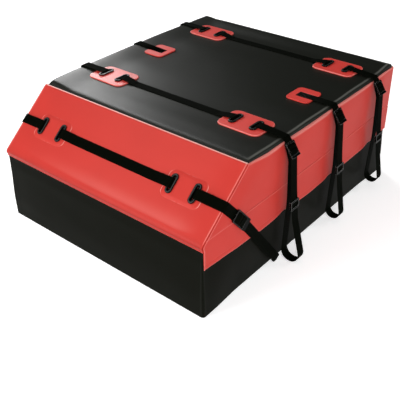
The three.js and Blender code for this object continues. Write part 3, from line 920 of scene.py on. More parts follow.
flap_x, flap_y, flap_z = np.moveaxis(flap_plain, 2, 0)
hang = np.clip((FLAP_TOP - flap_z) / (FLAP_TOP - FLAP_BOTTOM), 0, 1)
proud = FLAP_STEP * smoothstep(FLAP_TOP - flap_z, 0.2, 3.2) * side_seam(flap_plain)
waves = hang**2 * (1.2 + 0.9 * np.sin(flap_y / 58 + 0.8) + 0.5 * np.sin(flap_y / 23 + flap_x / 61))
waves *= smoothstep(from_seams(flap_plain), 20, 160)
flap_weld = -0.5 * bell(flap_height, HEM_WELD, 0.8)[None, :]
tucked_in = FLAP_TUCK * (1 - smoothstep(flap_y, -612, -540)) * hang
flap_lift = skin_lift(flap_plain) + proud + waves + flap_weld - flap_depth[None, :] - tucked_in
half_sine = np.sin(np.pi * np.clip((flap_y + BAG_LENGTH / 2) / BAG_LENGTH, 0, 1))
drop = FLAP_DROP * half_sine - 5 * smoothstep(flap_y, 430, 600) - 7 * row_marks(flap_y, 25)
flap_points = flap_plain + flap_lift[..., None] * away_from_bag(flap_plain)
flap_points[..., 2] -= drop * hang**1.5
flap_points = flap_points[FLAP_COLUMNS]
print("the flap hangs down to", flap_points[..., 2].min().round(1), "mm")

# %% Rain flap
count_u, count_v = flap_points.shape[:2]
# Painted highlights along the lower edge, just under the seam and on the seam lips.
flap_painted_highlight = 0.3 * bell(flap_height, 200.6, 1.3) + 0.15 * bell(flap_height, FLAP_TOP - 2.6, 1.2)
flap_painted_highlight = flap_painted_highlight[None, :] + 0.25 * seam_lips(flap_plain)[FLAP_COLUMNS]
flap_along = cloth_uv(flap_plain)[FLAP_COLUMNS, 0, 0]
flap_uv = np.stack(np.meshgrid(flap_along, flap_height, indexing="ij"), 2)
flap = make_piece("rain_flap_cloth", [{
    "points": flap_points, "closed_v": True, "flip": True, "edge": flap_painted_highlight, "uv": extended(flap_uv),
    "caps": [np.arange(count_v), (np.arange(count_v) + (count_u - 1) * count_v)[::-1]],
}], red_cloth)
fit(flap, "bag", "red_pvc_cloth", "rain_flap")
print("flap grid:", flap_points.shape[:2])

# %% [markdown]
# ## The black tub
#
# The tub carries the load, so its walls bow out a little between the floor and the hem above. The lower
# edge is a small round bend, and a seam runs up each corner. Near the ground the load spreads the walls a
# little, and behind the front hem the tub steps in.

# %% Levels of the tub
TUB_TOP = FRONT_HEM - 0.7
TUB_INSET = 4.8
TUB_FOOT = np.array([(16, 0), (7.8, 0), (6.6, 0.2), (5.7, 0.7), (5.1, 1.5), (4.8, 2.8)])

tub_wall = np.concatenate([[5, 8, 13], np.arange(22, 262, 12), [263, 268, 272]])
tub_inset = np.concatenate([TUB_FOOT[:, 0], 0 * tub_wall + TUB_INSET, [5.4, 12]])
tub_height = np.concatenate([TUB_FOOT[:, 1], tub_wall, [TUB_TOP - 0.4, TUB_TOP]])
tub_plain = around(tub_inset, tub_height, BAG_LENGTH / 2 - tub_inset)
print("tub grid:", tub_plain.shape[:2])

# %% Tub
TUB_BOW = 2.6
TUB_FOLDS = 0.4
TUB_STEP = 4

tub_x, tub_y, tub_z = np.moveaxis(tub_plain, 2, 0)
tub_seam = from_seams(tub_plain)
half_sine = np.sin(np.pi * np.clip(tub_z / TUB_TOP, 0, 1))
bow = TUB_BOW * half_sine * smoothstep(tub_seam, 2, 110)
folds = TUB_FOLDS * np.sin(tub_x / 67 + tub_z / 48) * np.sin(tub_z / 29 + tub_y / 83) * half_sine
standing = smoothstep(tub_z, 0.5, 8)
tub_lift = standing * (bow + folds * smoothstep(tub_seam, 5, 60) + weld(tub_seam, 1.3, 0.6, 1))
tub_points = swell(tub_plain, tub_lift + wall_bow(tub_plain) * smoothstep(tub_z, 20, 250))
side_spread = (TUB_INSET + 1.7) * (1 - smoothstep(tub_seam, 30, 190)) + 0.3
spread = (1 - smoothstep(tub_z, 60, 230)) * np.where(is_front > 0.5, TUB_INSET + 2.7, side_spread)
corner_out = 1.2 * (1 - smoothstep(tub_y, -612, -540)) * smoothstep(tub_z, 100, 200) * (1 - is_front)
behind_hem = -TUB_STEP * smoothstep(tub_z, 225, 262) * is_front
tub_points += (spread + corner_out + behind_hem)[..., None] * outward[:, None, :]
# Painted highlights on the lips of the corner seams and along the foot of the tub.
tub_painted_highlight = 0.4 * bell(tub_seam, 3.2, 1.3) * standing + 0.25 * bell(tub_z, 2.5, 2)
tub = shell("black_tub", tub_plain, tub_points, tub_painted_highlight, tub_cloth)
fit(tub, "bag", "black_pvc_cloth", "lower_tub")
print("tub width near the ground:", np.ptp(tub_points[:, len(TUB_FOOT), 0]).round(1), "mm")

# %% [markdown]
# ## The black top panel
#
# The top panel is padded: it rolls down to the groove along all four edges and lies flat under the straps.
# It is a height over a flat grid. The distance to the panel's own edge comes from the formula of a rounded
# rectangle, and the roll is a quarter of an ellipse of that distance.

# %% Grids over a rounded rectangle
NEAR_EDGE = np.array([0, 0.12, 0.4, 0.9, 1.6, 2.6, 4, 6, 8.5, 12, 16, 21, 27, 34])


def rounded_box_distance(x, y, half_x, half_y, corner):
    """Distance inwards from the edge of a rounded rectangle that is centred on the origin."""
    qx, qy = np.abs(x) - (half_x - corner), np.abs(y) - (half_y - corner)
    outside = np.hypot(np.maximum(qx, 0), np.maximum(qy, 0))
    return corner - outside - np.minimum(np.maximum(qx, qy), 0)


def edge_lines(half, flat_step):
    """Grid lines from -half to half, close together near both ends."""
    count = int(2 * (half - NEAR_EDGE[-1]) / flat_step)
    flat = np.linspace(-half + NEAR_EDGE[-1], half - NEAR_EDGE[-1], count + 1)[1:-1]
    return np.concatenate([NEAR_EDGE - half, flat, (half - NEAR_EDGE)[::-1]])


def round_corners(x, y, half_x, half_y, corner):
    """Moves the grid's square corners in onto quarter circles: the square maps to the disc."""
    a = np.maximum(np.abs(x) - (half_x - corner), 0) / corner
    b = np.maximum(np.abs(y) - (half_y - corner), 0) / corner
    both = (a > 0) & (b > 0)
    new_a, new_b = a * np.sqrt(1 - b**2 / 2), b * np.sqrt(1 - a**2 / 2)
    x = np.where(both, np.sign(x) * (half_x - corner + corner * new_a), x)
    y = np.where(both, np.sign(y) * (half_y - corner + corner * new_b), y)
    return x, y


def quarter_roll(distance, width, fullness=2.0):
    """Quarter of a superellipse: 0 at the edge, upright there, and 1 from one width inwards."""
    share = np.clip(distance / width, 0, 1)
    return np.maximum(1 - (1 - share) ** fullness, 0) ** (1 / fullness)


def grid_border(count_u, count_v):
    """The indices round the border of an open grid, each point once."""
    last_column, last_level = (count_u - 1) * count_v, count_v - 1
    return np.concatenate([
        np.arange(count_u) * count_v, last_column + np.arange(1, count_v),
        np.arange(count_u - 2, -1, -1) * count_v + last_level, np.arange(last_level - 1, 0, -1),
    ])


print("roll half way in:", round(float(quarter_roll(0.5, 1)), 3))

# %% Grid of the panel
PANEL_TOP = 493.7
PANEL_HALF = 494.5
PANEL_FRONT = -376.0
PANEL_REAR = 614.5
PANEL_CORNER = 5.0
PANEL_STEP = 16

panel_half_y = (PANEL_REAR - PANEL_FRONT) / 2
panel_size = (PANEL_HALF, panel_half_y, PANEL_CORNER)
lines_x, lines_y = edge_lines(PANEL_HALF, PANEL_STEP), edge_lines(panel_half_y, PANEL_STEP)
grid_x, grid_y = round_corners(*np.meshgrid(lines_x, lines_y, indexing="ij"), *panel_size)
inwards = rounded_box_distance(grid_x, grid_y, *panel_size)
panel_y = grid_y + (PANEL_REAR + PANEL_FRONT) / 2
print("panel grid:", grid_x.shape)

# %% [markdown]
# ## Where the panel swells
#
# The straps hold the padding flat, so it swells between their rows. It swells most along the rear edge and
# the left one, where the load lies. Towards the nose it stays flat.

# %% Swelling of the panel
PANEL_SWELL = 2.0
REAR_SWELL = 5.5
LEFT_SWELL = 7
UNEVEN = 0.35


def held_down(x, y):
    """1 under the rows of straps and 0 far from them. The middle row has straps only near the sides."""
    front, middle, rear = (1 - smoothstep(np.abs(y - row), 56, 150) for row in ROWS.values())
    return np.clip(front + middle * smoothstep(np.abs(x), 190, 290) + rear, 0, 1)


swelling = PANEL_SWELL * (1 - held_down(grid_x, panel_y)) * (1 - 0.6 * bell(inwards, 300, 160))
swelling *= 1 - 0.8 * smoothstep(-grid_x, 360, 450)
swelling *= 1 - smoothstep(-panel_y, 250, 340) * 0.75
rear_swell = REAR_SWELL * smoothstep(panel_y, 505, 590)
left_swell = (LEFT_SWELL + 2.5 * smoothstep(panel_y, -60, 200)) * smoothstep(-grid_x, 360, 482)
left_swell *= smoothstep(panel_y, -380, -354)
swelling += np.maximum(rear_swell, left_swell)
uneven = UNEVEN * np.sin(grid_x / 88 + panel_y / 140) * np.sin(panel_y / 97 - grid_x / 230)
print("the panel swells by up to", swelling.max().round(1), "mm")

# %% Roll of the panel's edges
ROLL_WIDTH = 30
FRONT_FOOT = 484.5
SIDE_DROP = 10.5
EDGE_PRESS = 1.5

from_front = grid_y + panel_half_y
to_side = smoothstep(from_front / (from_front + PANEL_HALF - np.abs(grid_x) + 0.1), 0.25, 0.75)
left_edge = smoothstep(-grid_x, 440, 480) * smoothstep(panel_y, -350, -200)
tight = np.maximum(smoothstep(panel_y, 560, 600), left_edge)
roll = quarter_roll(inwards, ROLL_WIDTH - 10 * to_side - 7 * tight, 2.2 + 0.6 * to_side)
foot = FRONT_FOOT - SIDE_DROP * to_side * (1 - 0.5 * smoothstep(panel_y, 500, 600))
near_side = smoothstep(np.abs(grid_x), PANEL_HALF - 45, PANEL_HALF - 4)
pressed_edge = -EDGE_PRESS * row_marks(panel_y, 30) * near_side
print("foot of the roll:", foot.min().round(1), "to", foot.max().round(1), "mm")

# %% Top panel
BOW_LEVEL = 485.0

panel_z = foot + (PANEL_TOP - foot + pressed_edge + swelling) * roll + uneven * smoothstep(inwards, 8, 60)
bowed = side_bow(grid_x, panel_y, BOW_LEVEL) * smoothstep(np.abs(grid_x), 300, PANEL_HALF - 5)
panel_points = np.stack([grid_x + np.sign(grid_x) * bowed, panel_y, panel_z], 2)
# A painted highlight runs along the roll of the right edge, less under the straps, and a faint one along the
# very edge.
right_edge = to_side * smoothstep(grid_x, 400, 470)
painted_highlight = 0.7 * bell(inwards, 14, 3.4) * right_edge * (1 - 0.8 * row_marks(panel_y, 32))
panel = make_piece("padded_top_panel", [{
    "points": panel_points, "edge": 0.05 * bell(inwards, 3, 3) + painted_highlight,
    "uv": extended(panel_points[..., :2]), "caps": [grid_border(*grid_x.shape)[::-1]],
}], panel_cloth)
fit(panel, "bag", "black_pvc_cloth", "top_panel")
print("panel height:", panel_z.max().round(1), "mm")

# %% [markdown]
# ## Frames for what is sewn on
#
# Patches, rings and straps are drawn in a flat frame of their own, X outwards and Z away from the cloth,
# and then put in place by a matrix. Left pieces are the right ones turned half round, as in the solids.

# %% Placing matrices


def shifted(x, y, z):
    """The matrix of a move."""
    return np.array(Matrix.Translation((x, y, z)))


def turned(degrees, axis):
    """The matrix of a turn about an axis."""
    return np.array(Matrix.Rotation(math.radians(degrees), 4, axis))


def put(points, matrix):
    """Points turned and moved by a matrix."""
    return points @ matrix[:3, :3].T + matrix[:3, 3]


SIDES = {"left": turned(180, "Z"), "right": np.eye(4)}
nose_y = -BAG_LENGTH / 2 + NOSE_CLIMB * math.cos(SLOPE)
nose_z = FOLD_HEIGHT + NOSE_CLIMB * math.sin(SLOPE)
nose_frame = shifted(0, nose_y, nose_z) @ turned(math.degrees(SLOPE), "X")
print("the nose strap lies at", round(nose_y), "and", round(nose_z), "mm")

# %% [markdown]
# ## Patches with two slots
#
# Each patch is a soft moulded plate. It is drawn as two rings of points, one round each slot: along every
# ray from the middle of the slot, points run from the edge of the slot to the edge of the patch. Its height
# depends on the distance to both edges, and is nothing on them, so the plate closes there. The patches on
# the nose thin out towards their edge, so that little more than a fine line shows there.

# %% Outlines and rays
SLOT_LENGTH = 60
SLOT_WIDTH = 14
OUTLINE_STEP = 0.25


def rounded_outline(corners, radii):
    """A closed outline with rounded corners, as points at an even spacing."""
    points = []
    for index, (corner, radius) in enumerate(zip(corners, radii)):
        if radius == 0:
            points.append(np.array([corner], float))
        else:
            after = corners[(index + 1) % len(corners)]
            points.append(fillet(corners[index - 1], corner, after, radius, 24))
    points = all_round(np.concatenate(points))
    walked = walked_along(points)
    even = np.linspace(0, walked[-1], int(walked[-1] / OUTLINE_STEP))[:-1]
    even = np.sort(np.concatenate([even, walked[:-1]]))
    return np.stack([np.interp(even, walked, points[:, axis]) for axis in (0, 1)], 1)


def ray_lengths(outline, centre, angles):
    """How far each ray from the centre runs to an outline that it crosses once."""
    x, y = (outline - centre).T
    towards = np.arctan2(y, x)
    order = np.argsort(towards)
    return np.interp(angles, towards[order], np.hypot(x, y)[order], period=2 * math.pi)


half_slot = (SLOT_WIDTH / 2, SLOT_LENGTH / 2)
slot_corners = [(sx * half_slot[0], sy * half_slot[1]) for sx, sy in CORNERS[[3, 0, 1, 2]]]
slot_outline = rounded_outline(slot_corners, [half_slot[0] - 0.01] * 4)
print("slot outline:", len(slot_outline), "points")

# %% Rays round a slot
PATCH_THICKNESS = 4.7
NEAR_RIM = np.array([0, 0.1, 0.3, 0.65, 1.1, 1.7, 2.6, 4.2])
RAYS = 120
TOP_PATCH = {
    "length": 184, "width": 128, "corner": 28, "spacing": 90,
    "edge_height": PATCH_THICKNESS, "edge_roll": 2.4, "thins_over": 1,
}
NOSE_PATCH = {
    "length": 168, "width": 113, "corner": 28, "spacing": 100,
    "edge_height": 1.0, "edge_roll": 0.9, "thins_over": 19,
}


def ray_grid(length, width, corner, spacing):
    """The right half of a patch: points on rays from the middle of its slot out to its edge."""
    middle, half, top = spacing / 2, length / 2, width / 2
    outer = rounded_outline([(0, -top), (half, -top), (half, top), (0, top)], [0, corner, corner, 0])
    towards = np.arctan2(np.concatenate([NEAR_RIM - top, top - NEAR_RIM]), -middle)
    angles = np.sort(np.concatenate([np.linspace(-math.pi, math.pi, RAYS, endpoint=False), towards]))
    near = ray_lengths(slot_outline + (middle, 0), (middle, 0), angles)[:, None]
    far = ray_lengths(outer, (middle, 0), angles)[:, None]
    between = (far - near - 2 * NEAR_RIM[-1]) * np.linspace(0, 1, 9)[1:-1]
    reach = np.concatenate([near + NEAR_RIM, near + NEAR_RIM[-1] + between, far - NEAR_RIM[::-1]], 1)
    x = middle + reach * np.cos(angles)[:, None]
    return np.where(np.abs(x) < 0.02, 0, x), reach * np.sin(angles)[:, None]


print("rays round a slot:", RAYS + 2 * len(NEAR_RIM))

# %% Slotted patches
PATCH_SUNK = 0.2
SAME_PLACE = 2e-6


def merge(piece, distance):
    """Joins vertices that lie in one place, which closes seams and poles, and drops faces of no size."""
    work = bmesh.new()
    work.from_mesh(piece.data)
    bmesh.ops.remove_doubles(work, verts=work.verts, dist=distance)
    work.to_mesh(piece.data)
    work.free()


def slotted_patch(name, place, sheet, length, width, corner, spacing, edge_height, edge_roll, thins_over):
    """A plate over two slots.

    Height = thickness times the rolls at both edges, and towards the patch's edge it falls to edge_height.
    """
    x, y = ray_grid(length, width, corner, spacing)
    from_edge = np.maximum(rounded_box_distance(x, y, length / 2, width / 2, corner), 0)
    from_slot = np.maximum(-rounded_box_distance(x - spacing / 2, y, *half_slot, half_slot[0]), 0)
    body = edge_height + (PATCH_THICKNESS - edge_height) * smoothstep(from_edge, 0, thins_over)
    height = body * quarter_roll(from_edge, edge_roll) * quarter_roll(from_slot, 1.6)
    # The plate closes at its slot and at its outer edge. On the middle line its two halves meet instead.
    height[:, 0] = 0
    height[x[:, -1] != 0, -1] = 0
    top, bottom = (np.stack([x, y, z - PATCH_SUNK], 2) for z in (height, 0 * x))
    # Painted highlights on the rounded edge of the patch and round its slots.
    edge = 0.4 * bell(from_edge, 1.8, 1.4) + 0.15 * bell(from_slot, 1.5, 1)
    uv = extended(np.stack([x, y], 2), "wrap")
    parts = []
    for mirror in (1, -1):
        for grid, flip in ((top, mirror > 0), (bottom, mirror < 0)):
            points = put(grid * (mirror, 1, 1), place)
            parts.append({"points": points, "closed_u": True, "flip": flip, "edge": edge, "uv": uv})
    patch = make_piece(name, parts, sheet)
    merge(patch, SAME_PLACE)
    return patch


print("bridge between two slots:", TOP_PATCH["spacing"] - SLOT_WIDTH, "mm")

# %% Patches on the top and on the nose
PATCH_PLACE = 330
row_frames = {row: shifted(0, ROWS[row], BAG_HEIGHT) for row in ("front", "rear")} | {"nose": nose_frame}
row_patches = {"front": TOP_PATCH, "rear": TOP_PATCH, "nose": NOSE_PATCH}
for side, turn_side in SIDES.items():
    for row, row_frame in row_frames.items():
        place = row_frame @ turn_side @ shifted(PATCH_PLACE, 0, 0)
        sheet = red_cloth if row == "nose" else lit_patch_sheet
        node = f"nose_patch_{side}" if row == "nose" else f"top_patch_{row}_{side}"
        patch = slotted_patch(f"patch_{row}_{side}", place, sheet, **row_patches[row])
        fit(patch, "bag", "red_pvc_cloth", node)
print("slotted patches:", len(row_frames) * len(SIDES))

# %% [markdown]
# ## Slot rings
#
# A ring is one rounded section carried round a racetrack: two straights and two half circles. The section
# is a superellipse, fuller than a circle, so a long highlight runs along its crown, and a faint highlight is
# painted there as well. A thin wall inside it lines the slot. The slot is longer than the webbing is wide, so
# a low web fills both of its round ends.

# %% Sections and tracks
ARC_PARTS = 20
STRAIGHT_PARTS = 6


def racetrack(length, width):
    """Points and outward directions round a slot: half circles of half the width at both ends."""
    radius = width / 2
    reach = length / 2 - radius
    angles = np.linspace(0, math.pi, ARC_PARTS + 1)
    half = np.stack([np.cos(angles), np.sin(angles)], 1)
    straight = np.linspace(1, -1, STRAIGHT_PARTS + 1)[1:-1, None]
    side = np.concatenate([0 * straight - radius, straight * reach], 1)
    points = np.concatenate([half * radius + (0, reach), side])
    facing = np.concatenate([half, np.repeat([[-1.0, 0.0]], len(side), 0)])
    return np.concatenate([points, -points]), np.concatenate([facing, -facing])


def superellipse(half_width, half_height, power, steps):
    """|x / a| ^ power + |y / b| ^ power = 1, walked counter-clockwise."""
    angle = np.linspace(0, 2 * math.pi, steps, endpoint=False)
    x, y = (np.sign(v) * np.abs(v) ** (2 / power) for v in (np.cos(angle), np.sin(angle)))
    return half_width * x, half_height * y


def with_height(flat, height):
    """Flat points with a height, given for each section point or for the whole grid."""
    return np.concatenate([flat, np.broadcast_to(height, flat.shape[:2])[..., None]], 2)


def carried_round(track, facing, reach, height, matrix):
    """A section (reach, height) at every point of a track, its reach along the outward direction."""
    flat = track[:, None, :] + facing[:, None, :] * np.asarray(reach)[None, :, None]
    return {"points": put(with_height(flat, height), matrix), "closed_u": True, "closed_v": True}


print("points round a slot:", len(racetrack(SLOT_LENGTH, SLOT_WIDTH)[0]))

# %% Ends of the slots
WEB_EDGE = 20.5
WEB_LOW = 0.4
WEB_HIGH = 5.2


def slot_ends(matrix):
    """The webs: half circles that fit the slot, cut off square beside the webbing."""
    radius = SLOT_WIDTH / 2
    angle = np.linspace(0, math.pi, 13)
    outline = np.stack([radius * np.cos(angle), radius * np.sin(angle) + SLOT_LENGTH / 2 - radius], 1)
    outline = np.concatenate([outline, [(-radius, WEB_EDGE), (radius, WEB_EDGE)]])
    caps = [np.arange(len(outline))[::-1] * 2, np.arange(len(outline)) * 2 + 1]
    parts = []
    for sign in (1, -1):
        web = with_height(np.repeat(sign * outline[:, None, :], 2, 1), (WEB_LOW, WEB_HIGH))
        parts.append({"points": put(web, matrix), "closed_u": True, "caps": caps})
    return parts


print("a web is", round(WEB_HIGH - WEB_LOW, 1), "mm thick")

# %% Slot rings
RING_BAR = 8.4
RING_REACH = 14
RING_HEIGHT = 5.8
RING_FOOT = 4.6
RING_BULGE = 2.6
CROWN_HIGHLIGHT = 0.06
WALL_OUTER = -2.9
WALL_INNER = -3.65
WALL_TOP = 7
WALL_FOOT = {"straight": 3.0, "end": 0.1}
STRAIGHT_HALF = 22


def slot_ring(name, matrix):
    """The bar with a faint painted highlight on its crown, the wall inside the slot and the webs in its ends.
    """
    track, facing = racetrack(SLOT_LENGTH + RING_REACH - RING_BAR, SLOT_WIDTH + RING_REACH - RING_BAR)
    reach, height = superellipse(RING_BAR / 2, RING_HEIGHT / 2, RING_BULGE, 20)
    bar = carried_round(track, facing, reach, RING_FOOT + RING_HEIGHT / 2 + height, matrix)
    # A faint painted highlight along the crown of the bar.
    crown = CROWN_HIGHLIGHT * smoothstep(height, 0.9 * height.max(), height.max())
    bar["edge"] = np.repeat(crown[None, :], len(track), 0)
    foot = np.where(np.abs(track[:, 1]) < STRAIGHT_HALF, WALL_FOOT["straight"], WALL_FOOT["end"])
    wall_height = np.stack([foot, foot * 0 + WALL_TOP, foot * 0 + WALL_TOP, foot], 1)
    wall_reach = [WALL_OUTER, WALL_OUTER, WALL_INNER, WALL_INNER]
    wall = carried_round(track, facing, wall_reach, wall_height, matrix)
    return make_piece(name, [bar, wall, *slot_ends(matrix)], ring_plastic)


rings = 0
for side, turn_side in SIDES.items():
    for row, row_frame in row_frames.items():
        for where, sign in (("inner", -1), ("outer", 1)):
            slot_place = PATCH_PLACE + sign * row_patches[row]["spacing"] / 2
            ring = slot_ring(f"ring_{row}_{side}_{where}", row_frame @ turn_side @ shifted(slot_place, 0, 0))
            fit(ring, "bag", "ring_plastic", f"slot_ring_{row}_{side}_{where}")
            rings += 1
print("slot rings:", rings)

# %% [markdown]
# ## Straps
#
# Every strap is the same flat section carried along a path that bends with small radii: over the rings,
# under the bars of a buckle, round the loop near the ground. A path is a list of corners, each with the
# radius of its bend. All of a strap lies in one plane, so one matrix puts the path into place.

# %% Bent paths
BEND_STEP = math.radians(6)


def bent_path(corners):
    """Points of a path through corners (x, z, radius), each rounded by an arc that touches its legs."""
    corners = [np.asarray(corner, float) for corner in corners]
    points = [corners[0][None, :2]]
    for before, corner, after in zip(corners, corners[1:], corners[2:]):
        radius = corner[2] if len(corner) > 2 else 0
        towards = [v / np.linalg.norm(v) for v in (corner[:2] - before[:2], after[:2] - corner[:2])]
        bend = math.acos(np.clip(towards[0] @ towards[1], -1, 1))
        if radius == 0 or bend < 1e-3:
            points.append(corner[None, :2])
        else:
            steps = max(2, round(bend / BEND_STEP))
            points.append(fillet(before[:2], corner[:2], after[:2], radius, steps))
    points.append(corners[-1][None, :2])
    return np.concatenate(points)


print("points of a right-angled bend:", len(bent_path([(0, 0), (10, 0, 3), (10, 10)])) - 2)

# %% Strap sweep
WEBBING_THICKNESS = 1.8


def flat_section(width, thickness):
    """A flat band with half round edges, walked counter-clockwise: (across, away)."""
    radius = thickness / 2
    angle = np.linspace(-math.pi / 2, math.pi / 2, 6)
    right = np.stack([width / 2 - radius + radius * np.cos(angle), radius * np.sin(angle)], 1)
    top = np.stack([np.linspace(width / 2 - radius, radius - width / 2, 7)[1:-1], np.full(5, radius)], 1)
    return np.concatenate([right, top, -right, -top])


def sweep_band(path, section, matrix):
    """Carries the section along a path in the X-Z plane; across is -Y, away is the path's left side.

    At a bend the section lies on the line that halves the angle, and its thickness is drawn out to match.
    """
    legs = np.diff(path, axis=0)
    legs /= np.linalg.norm(legs, axis=1, keepdims=True)
    before, after = np.concatenate([legs[:1], legs]), np.concatenate([legs, legs[-1:]])
    both = before + after
    both /= np.linalg.norm(both, axis=1, keepdims=True)
    mitre = 1 / np.maximum(np.sum(both * after, 1), 0.5)
    away = np.stack([-both[:, 1], both[:, 0]], 1) * mitre[:, None]
    points = np.zeros((len(path), len(section), 3))
    points[..., 0::2] = path[:, None, :] + away[:, None, :] * section[None, :, 1:]
    points[..., 1] = -section[None, :, 0]
    uv = np.stack(np.broadcast_arrays(section[None, :, 0], walked_along(path)[:, None]), 2)
    count = len(section)
    caps = [np.arange(count), (np.arange(count) + (len(path) - 1) * count)[::-1]]
    return {"points": put(points, matrix), "closed_v": True, "uv": extended(uv, "wrap"), "caps": caps}


def strap(name, corners, place, *nodes):
    """One length of webbing along a path of corners, in place of the solids named."""
    band = sweep_band(bent_path(corners), flat_section(WEBBING_WIDTH, WEBBING_THICKNESS), place)
    fit(make_piece(name, [band], webbing), "bag", "black_webbing", *nodes)


print("points round the webbing:", len(flat_section(WEBBING_WIDTH, WEBBING_THICKNESS)))

# %% [markdown]
# ## How each strap runs
#
# A cross strap comes up from its left buckle, goes over the edge of the bag, dives through the slots of a
# patch, and does the same in mirror image on the right. A loop strap is sewn behind the top edge. It hangs
# down the wall, turns in a loop near the ground and comes back up through its slider to the buckle.
#
# A ladder lock has three windows. The cross strap goes in under the top bar, out through the second window
# and back up behind. The loop strap comes out through the last window, goes over the bar and down again
# behind itself, so that any pull grips it.

# %% Through the slots
LIE = 1.2
OVER_RING = 11.55
RAMP, RAMP_BEND = 80, 31
CREST, CREST_BEND = 18, 8
DIVE, DIVE_BEND = 4, 3


def through_patch(spacing):
    """Up over a ring, down through its slot, along under the bridge and up through the other slot."""
    inner, outer = PATCH_PLACE - spacing / 2, PATCH_PLACE + spacing / 2
    dive = [(-CREST, OVER_RING, CREST_BEND), (-DIVE, OVER_RING, DIVE_BEND), (DIVE_BEND, LIE, DIVE_BEND)]
    fall = [(inner + x, z, bend) for x, z, bend in dive]
    rise = [(outer - x, z, bend) for x, z, bend in dive[::-1]]
    return [(inner - RAMP, LIE, RAMP_BEND), *fall, *rise]


def lifted(corners, base):
    """The same corners, higher by a base."""
    return [(x, z + base, *radius) for x, z, *radius in corners]


def mirrored_strap(left_half, right_half):
    """The left half reversed, with X turned to -X, and then the right half."""
    return [(-x, z, *radius) for x, z, *radius in left_half[::-1]] + list(right_half)


print("corners through a patch:", len(through_patch(TOP_PATCH["spacing"])))

# %% Through a buckle
STANDOFF = 3.5
BAR_TURN = 2.4
WINDOW_TURN = 3.2
FOLD_BACK = 2.7
TAIL = 25


class BuckleFrame:
    """Points of a ladder lock: `down` along it, `out` away from the bag, both turned by its tilt."""

    def __init__(self, x, z, tilt, windows):
        self.x, self.z, self.tilt = x, z, math.radians(tilt)
        self.windows = windows

    def at(self, down, out, radius=0):
        """A corner of a path: so far down the lock, so far out of it, and the radius of its bend."""
        s, c = math.sin(self.tilt), math.cos(self.tilt)
        return (self.x + down * s + out * c, self.z - down * c + out * s, radius)

    def held(self):
        """The cross strap's end: in under the top bar, out through the next window and back up behind."""
        first, second = self.windows[0], self.windows[1]
        behind = -FOLD_BACK - STANDOFF
        return [
            self.at(first[0] + 1.25, -STANDOFF, BAR_TURN), self.at(first[1] - BAR_TURN, STANDOFF, BAR_TURN),
            self.at(second[0] + WINDOW_TURN, STANDOFF, BAR_TURN),
            self.at(second[0] + WINDOW_TURN, behind, BAR_TURN), self.at(-FOLD_BACK, behind),
        ]

    def gripped(self, lean=0.0, tail=TAIL):
        """The loop strap's end: out through the last window, over the bar, and down again behind itself."""
        low, last = self.windows[2][1] - BAR_TURN, self.windows[1][1] - WINDOW_TURN
        behind = STANDOFF + FOLD_BACK / math.cos(lean)
        return [
            self.at(low, -STANDOFF, BAR_TURN), self.at(low, STANDOFF, BAR_TURN),
            self.at(last, STANDOFF, BAR_TURN), self.at(last, -STANDOFF, BAR_TURN),
            self.at(low, -behind, BAR_TURN), self.at(low + tail, -behind - tail * math.tan(lean)),
        ]


side_buckle = BuckleFrame(x=512, z=483, tilt=32, windows=[(6, 15), (20, 29), (34, 46)])
nose_buckle = BuckleFrame(x=510.5, z=-65, tilt=0, windows=[(6, 34), (40, 50), (56, 76)])
print("corners through a buckle:", len(side_buckle.held()), "and", len(side_buckle.gripped()))

# %% Cross straps
OFF_CENTRE = 1.2
OVER_TOP_EDGE = {"left": (507, BAG_HEIGHT + 11.6, 9), "right": (497.5, BAG_HEIGHT + 3.6, 9)}
OVER_NOSE_EDGE = (503.5, 2.6, 10)
SHORT_STRAP_END = (342.5, BAG_HEIGHT + 3.8)

crossing = lifted(through_patch(TOP_PATCH["spacing"]), BAG_HEIGHT)
top_ends = {side: [OVER_TOP_EDGE[side], *side_buckle.held()] for side in SIDES}
for row in ("front", "rear"):
    halves = [[*crossing, *top_ends[side]] for side in SIDES]
    place = shifted(0, ROWS[row] + OFF_CENTRE, 0)
    strap(f"cross_strap_{row}", mirrored_strap(*halves), place, f"top_strap_{row}")

nose_half = [*through_patch(NOSE_PATCH["spacing"]), OVER_NOSE_EDGE, *nose_buckle.held()]
strap("cross_strap_nose", mirrored_strap(nose_half, nose_half), nose_frame, "nose_strap")
print("corners of a cross strap:", len(mirrored_strap(*halves)))

# %% [markdown]
# ## Loops and tails
#
# Each loop hangs down the wall by its own weight and stands off it where it comes back up to the buckle. The
# front loops reach nearly to the ground. Real straps don't lie quite in the middle of their buckles, so the
# right loops are drawn 1.2 mm towards the rear, as the cross straps are. The nose buckles lie square to the
# slope, and the tails under them hang a little nearer to the vertical, so one corner of each tail's end dips
# 10 mm under the ground.

# %% Path of a loop
LOOPS = {"front": (3.2, 100, 36), "middle": (22, 82, 29), "rear": (39, 82, 29)}
SEWN_END = (0, -8.9)
DOWN_THE_WALL = [(523.5, 425, 69), (528, 260, 300)]
INNER_FOOT = 516
LEG_FOOT = (556, 178)
LEG_TOP = (542, 312)
leg_lean = math.atan2(LEG_FOOT[0] - LEG_TOP[0], LEG_TOP[1] - LEG_FOOT[1])


def loop_corners(foot, out, bend):
    """Down the wall from behind the buckle, round the loop and up to the buckle's last windows."""
    return [
        side_buckle.at(*SEWN_END), *DOWN_THE_WALL, (INNER_FOOT, foot, bend),
        (BAG_WIDTH / 2 + out, foot, bend), (*LEG_FOOT, bend), LEG_TOP,
        *side_buckle.gripped(side_buckle.tilt - leg_lean),
    ]


print("a free leg leans by", round(math.degrees(leg_lean), 1), "degrees")

# %% Path of a tail
TAIL_END_HEIGHT = 15.2
TAIL_BACK = 509
TAIL_FACE = 511.7
HEM_FOLD = 30
HEM_BEND = 1.35

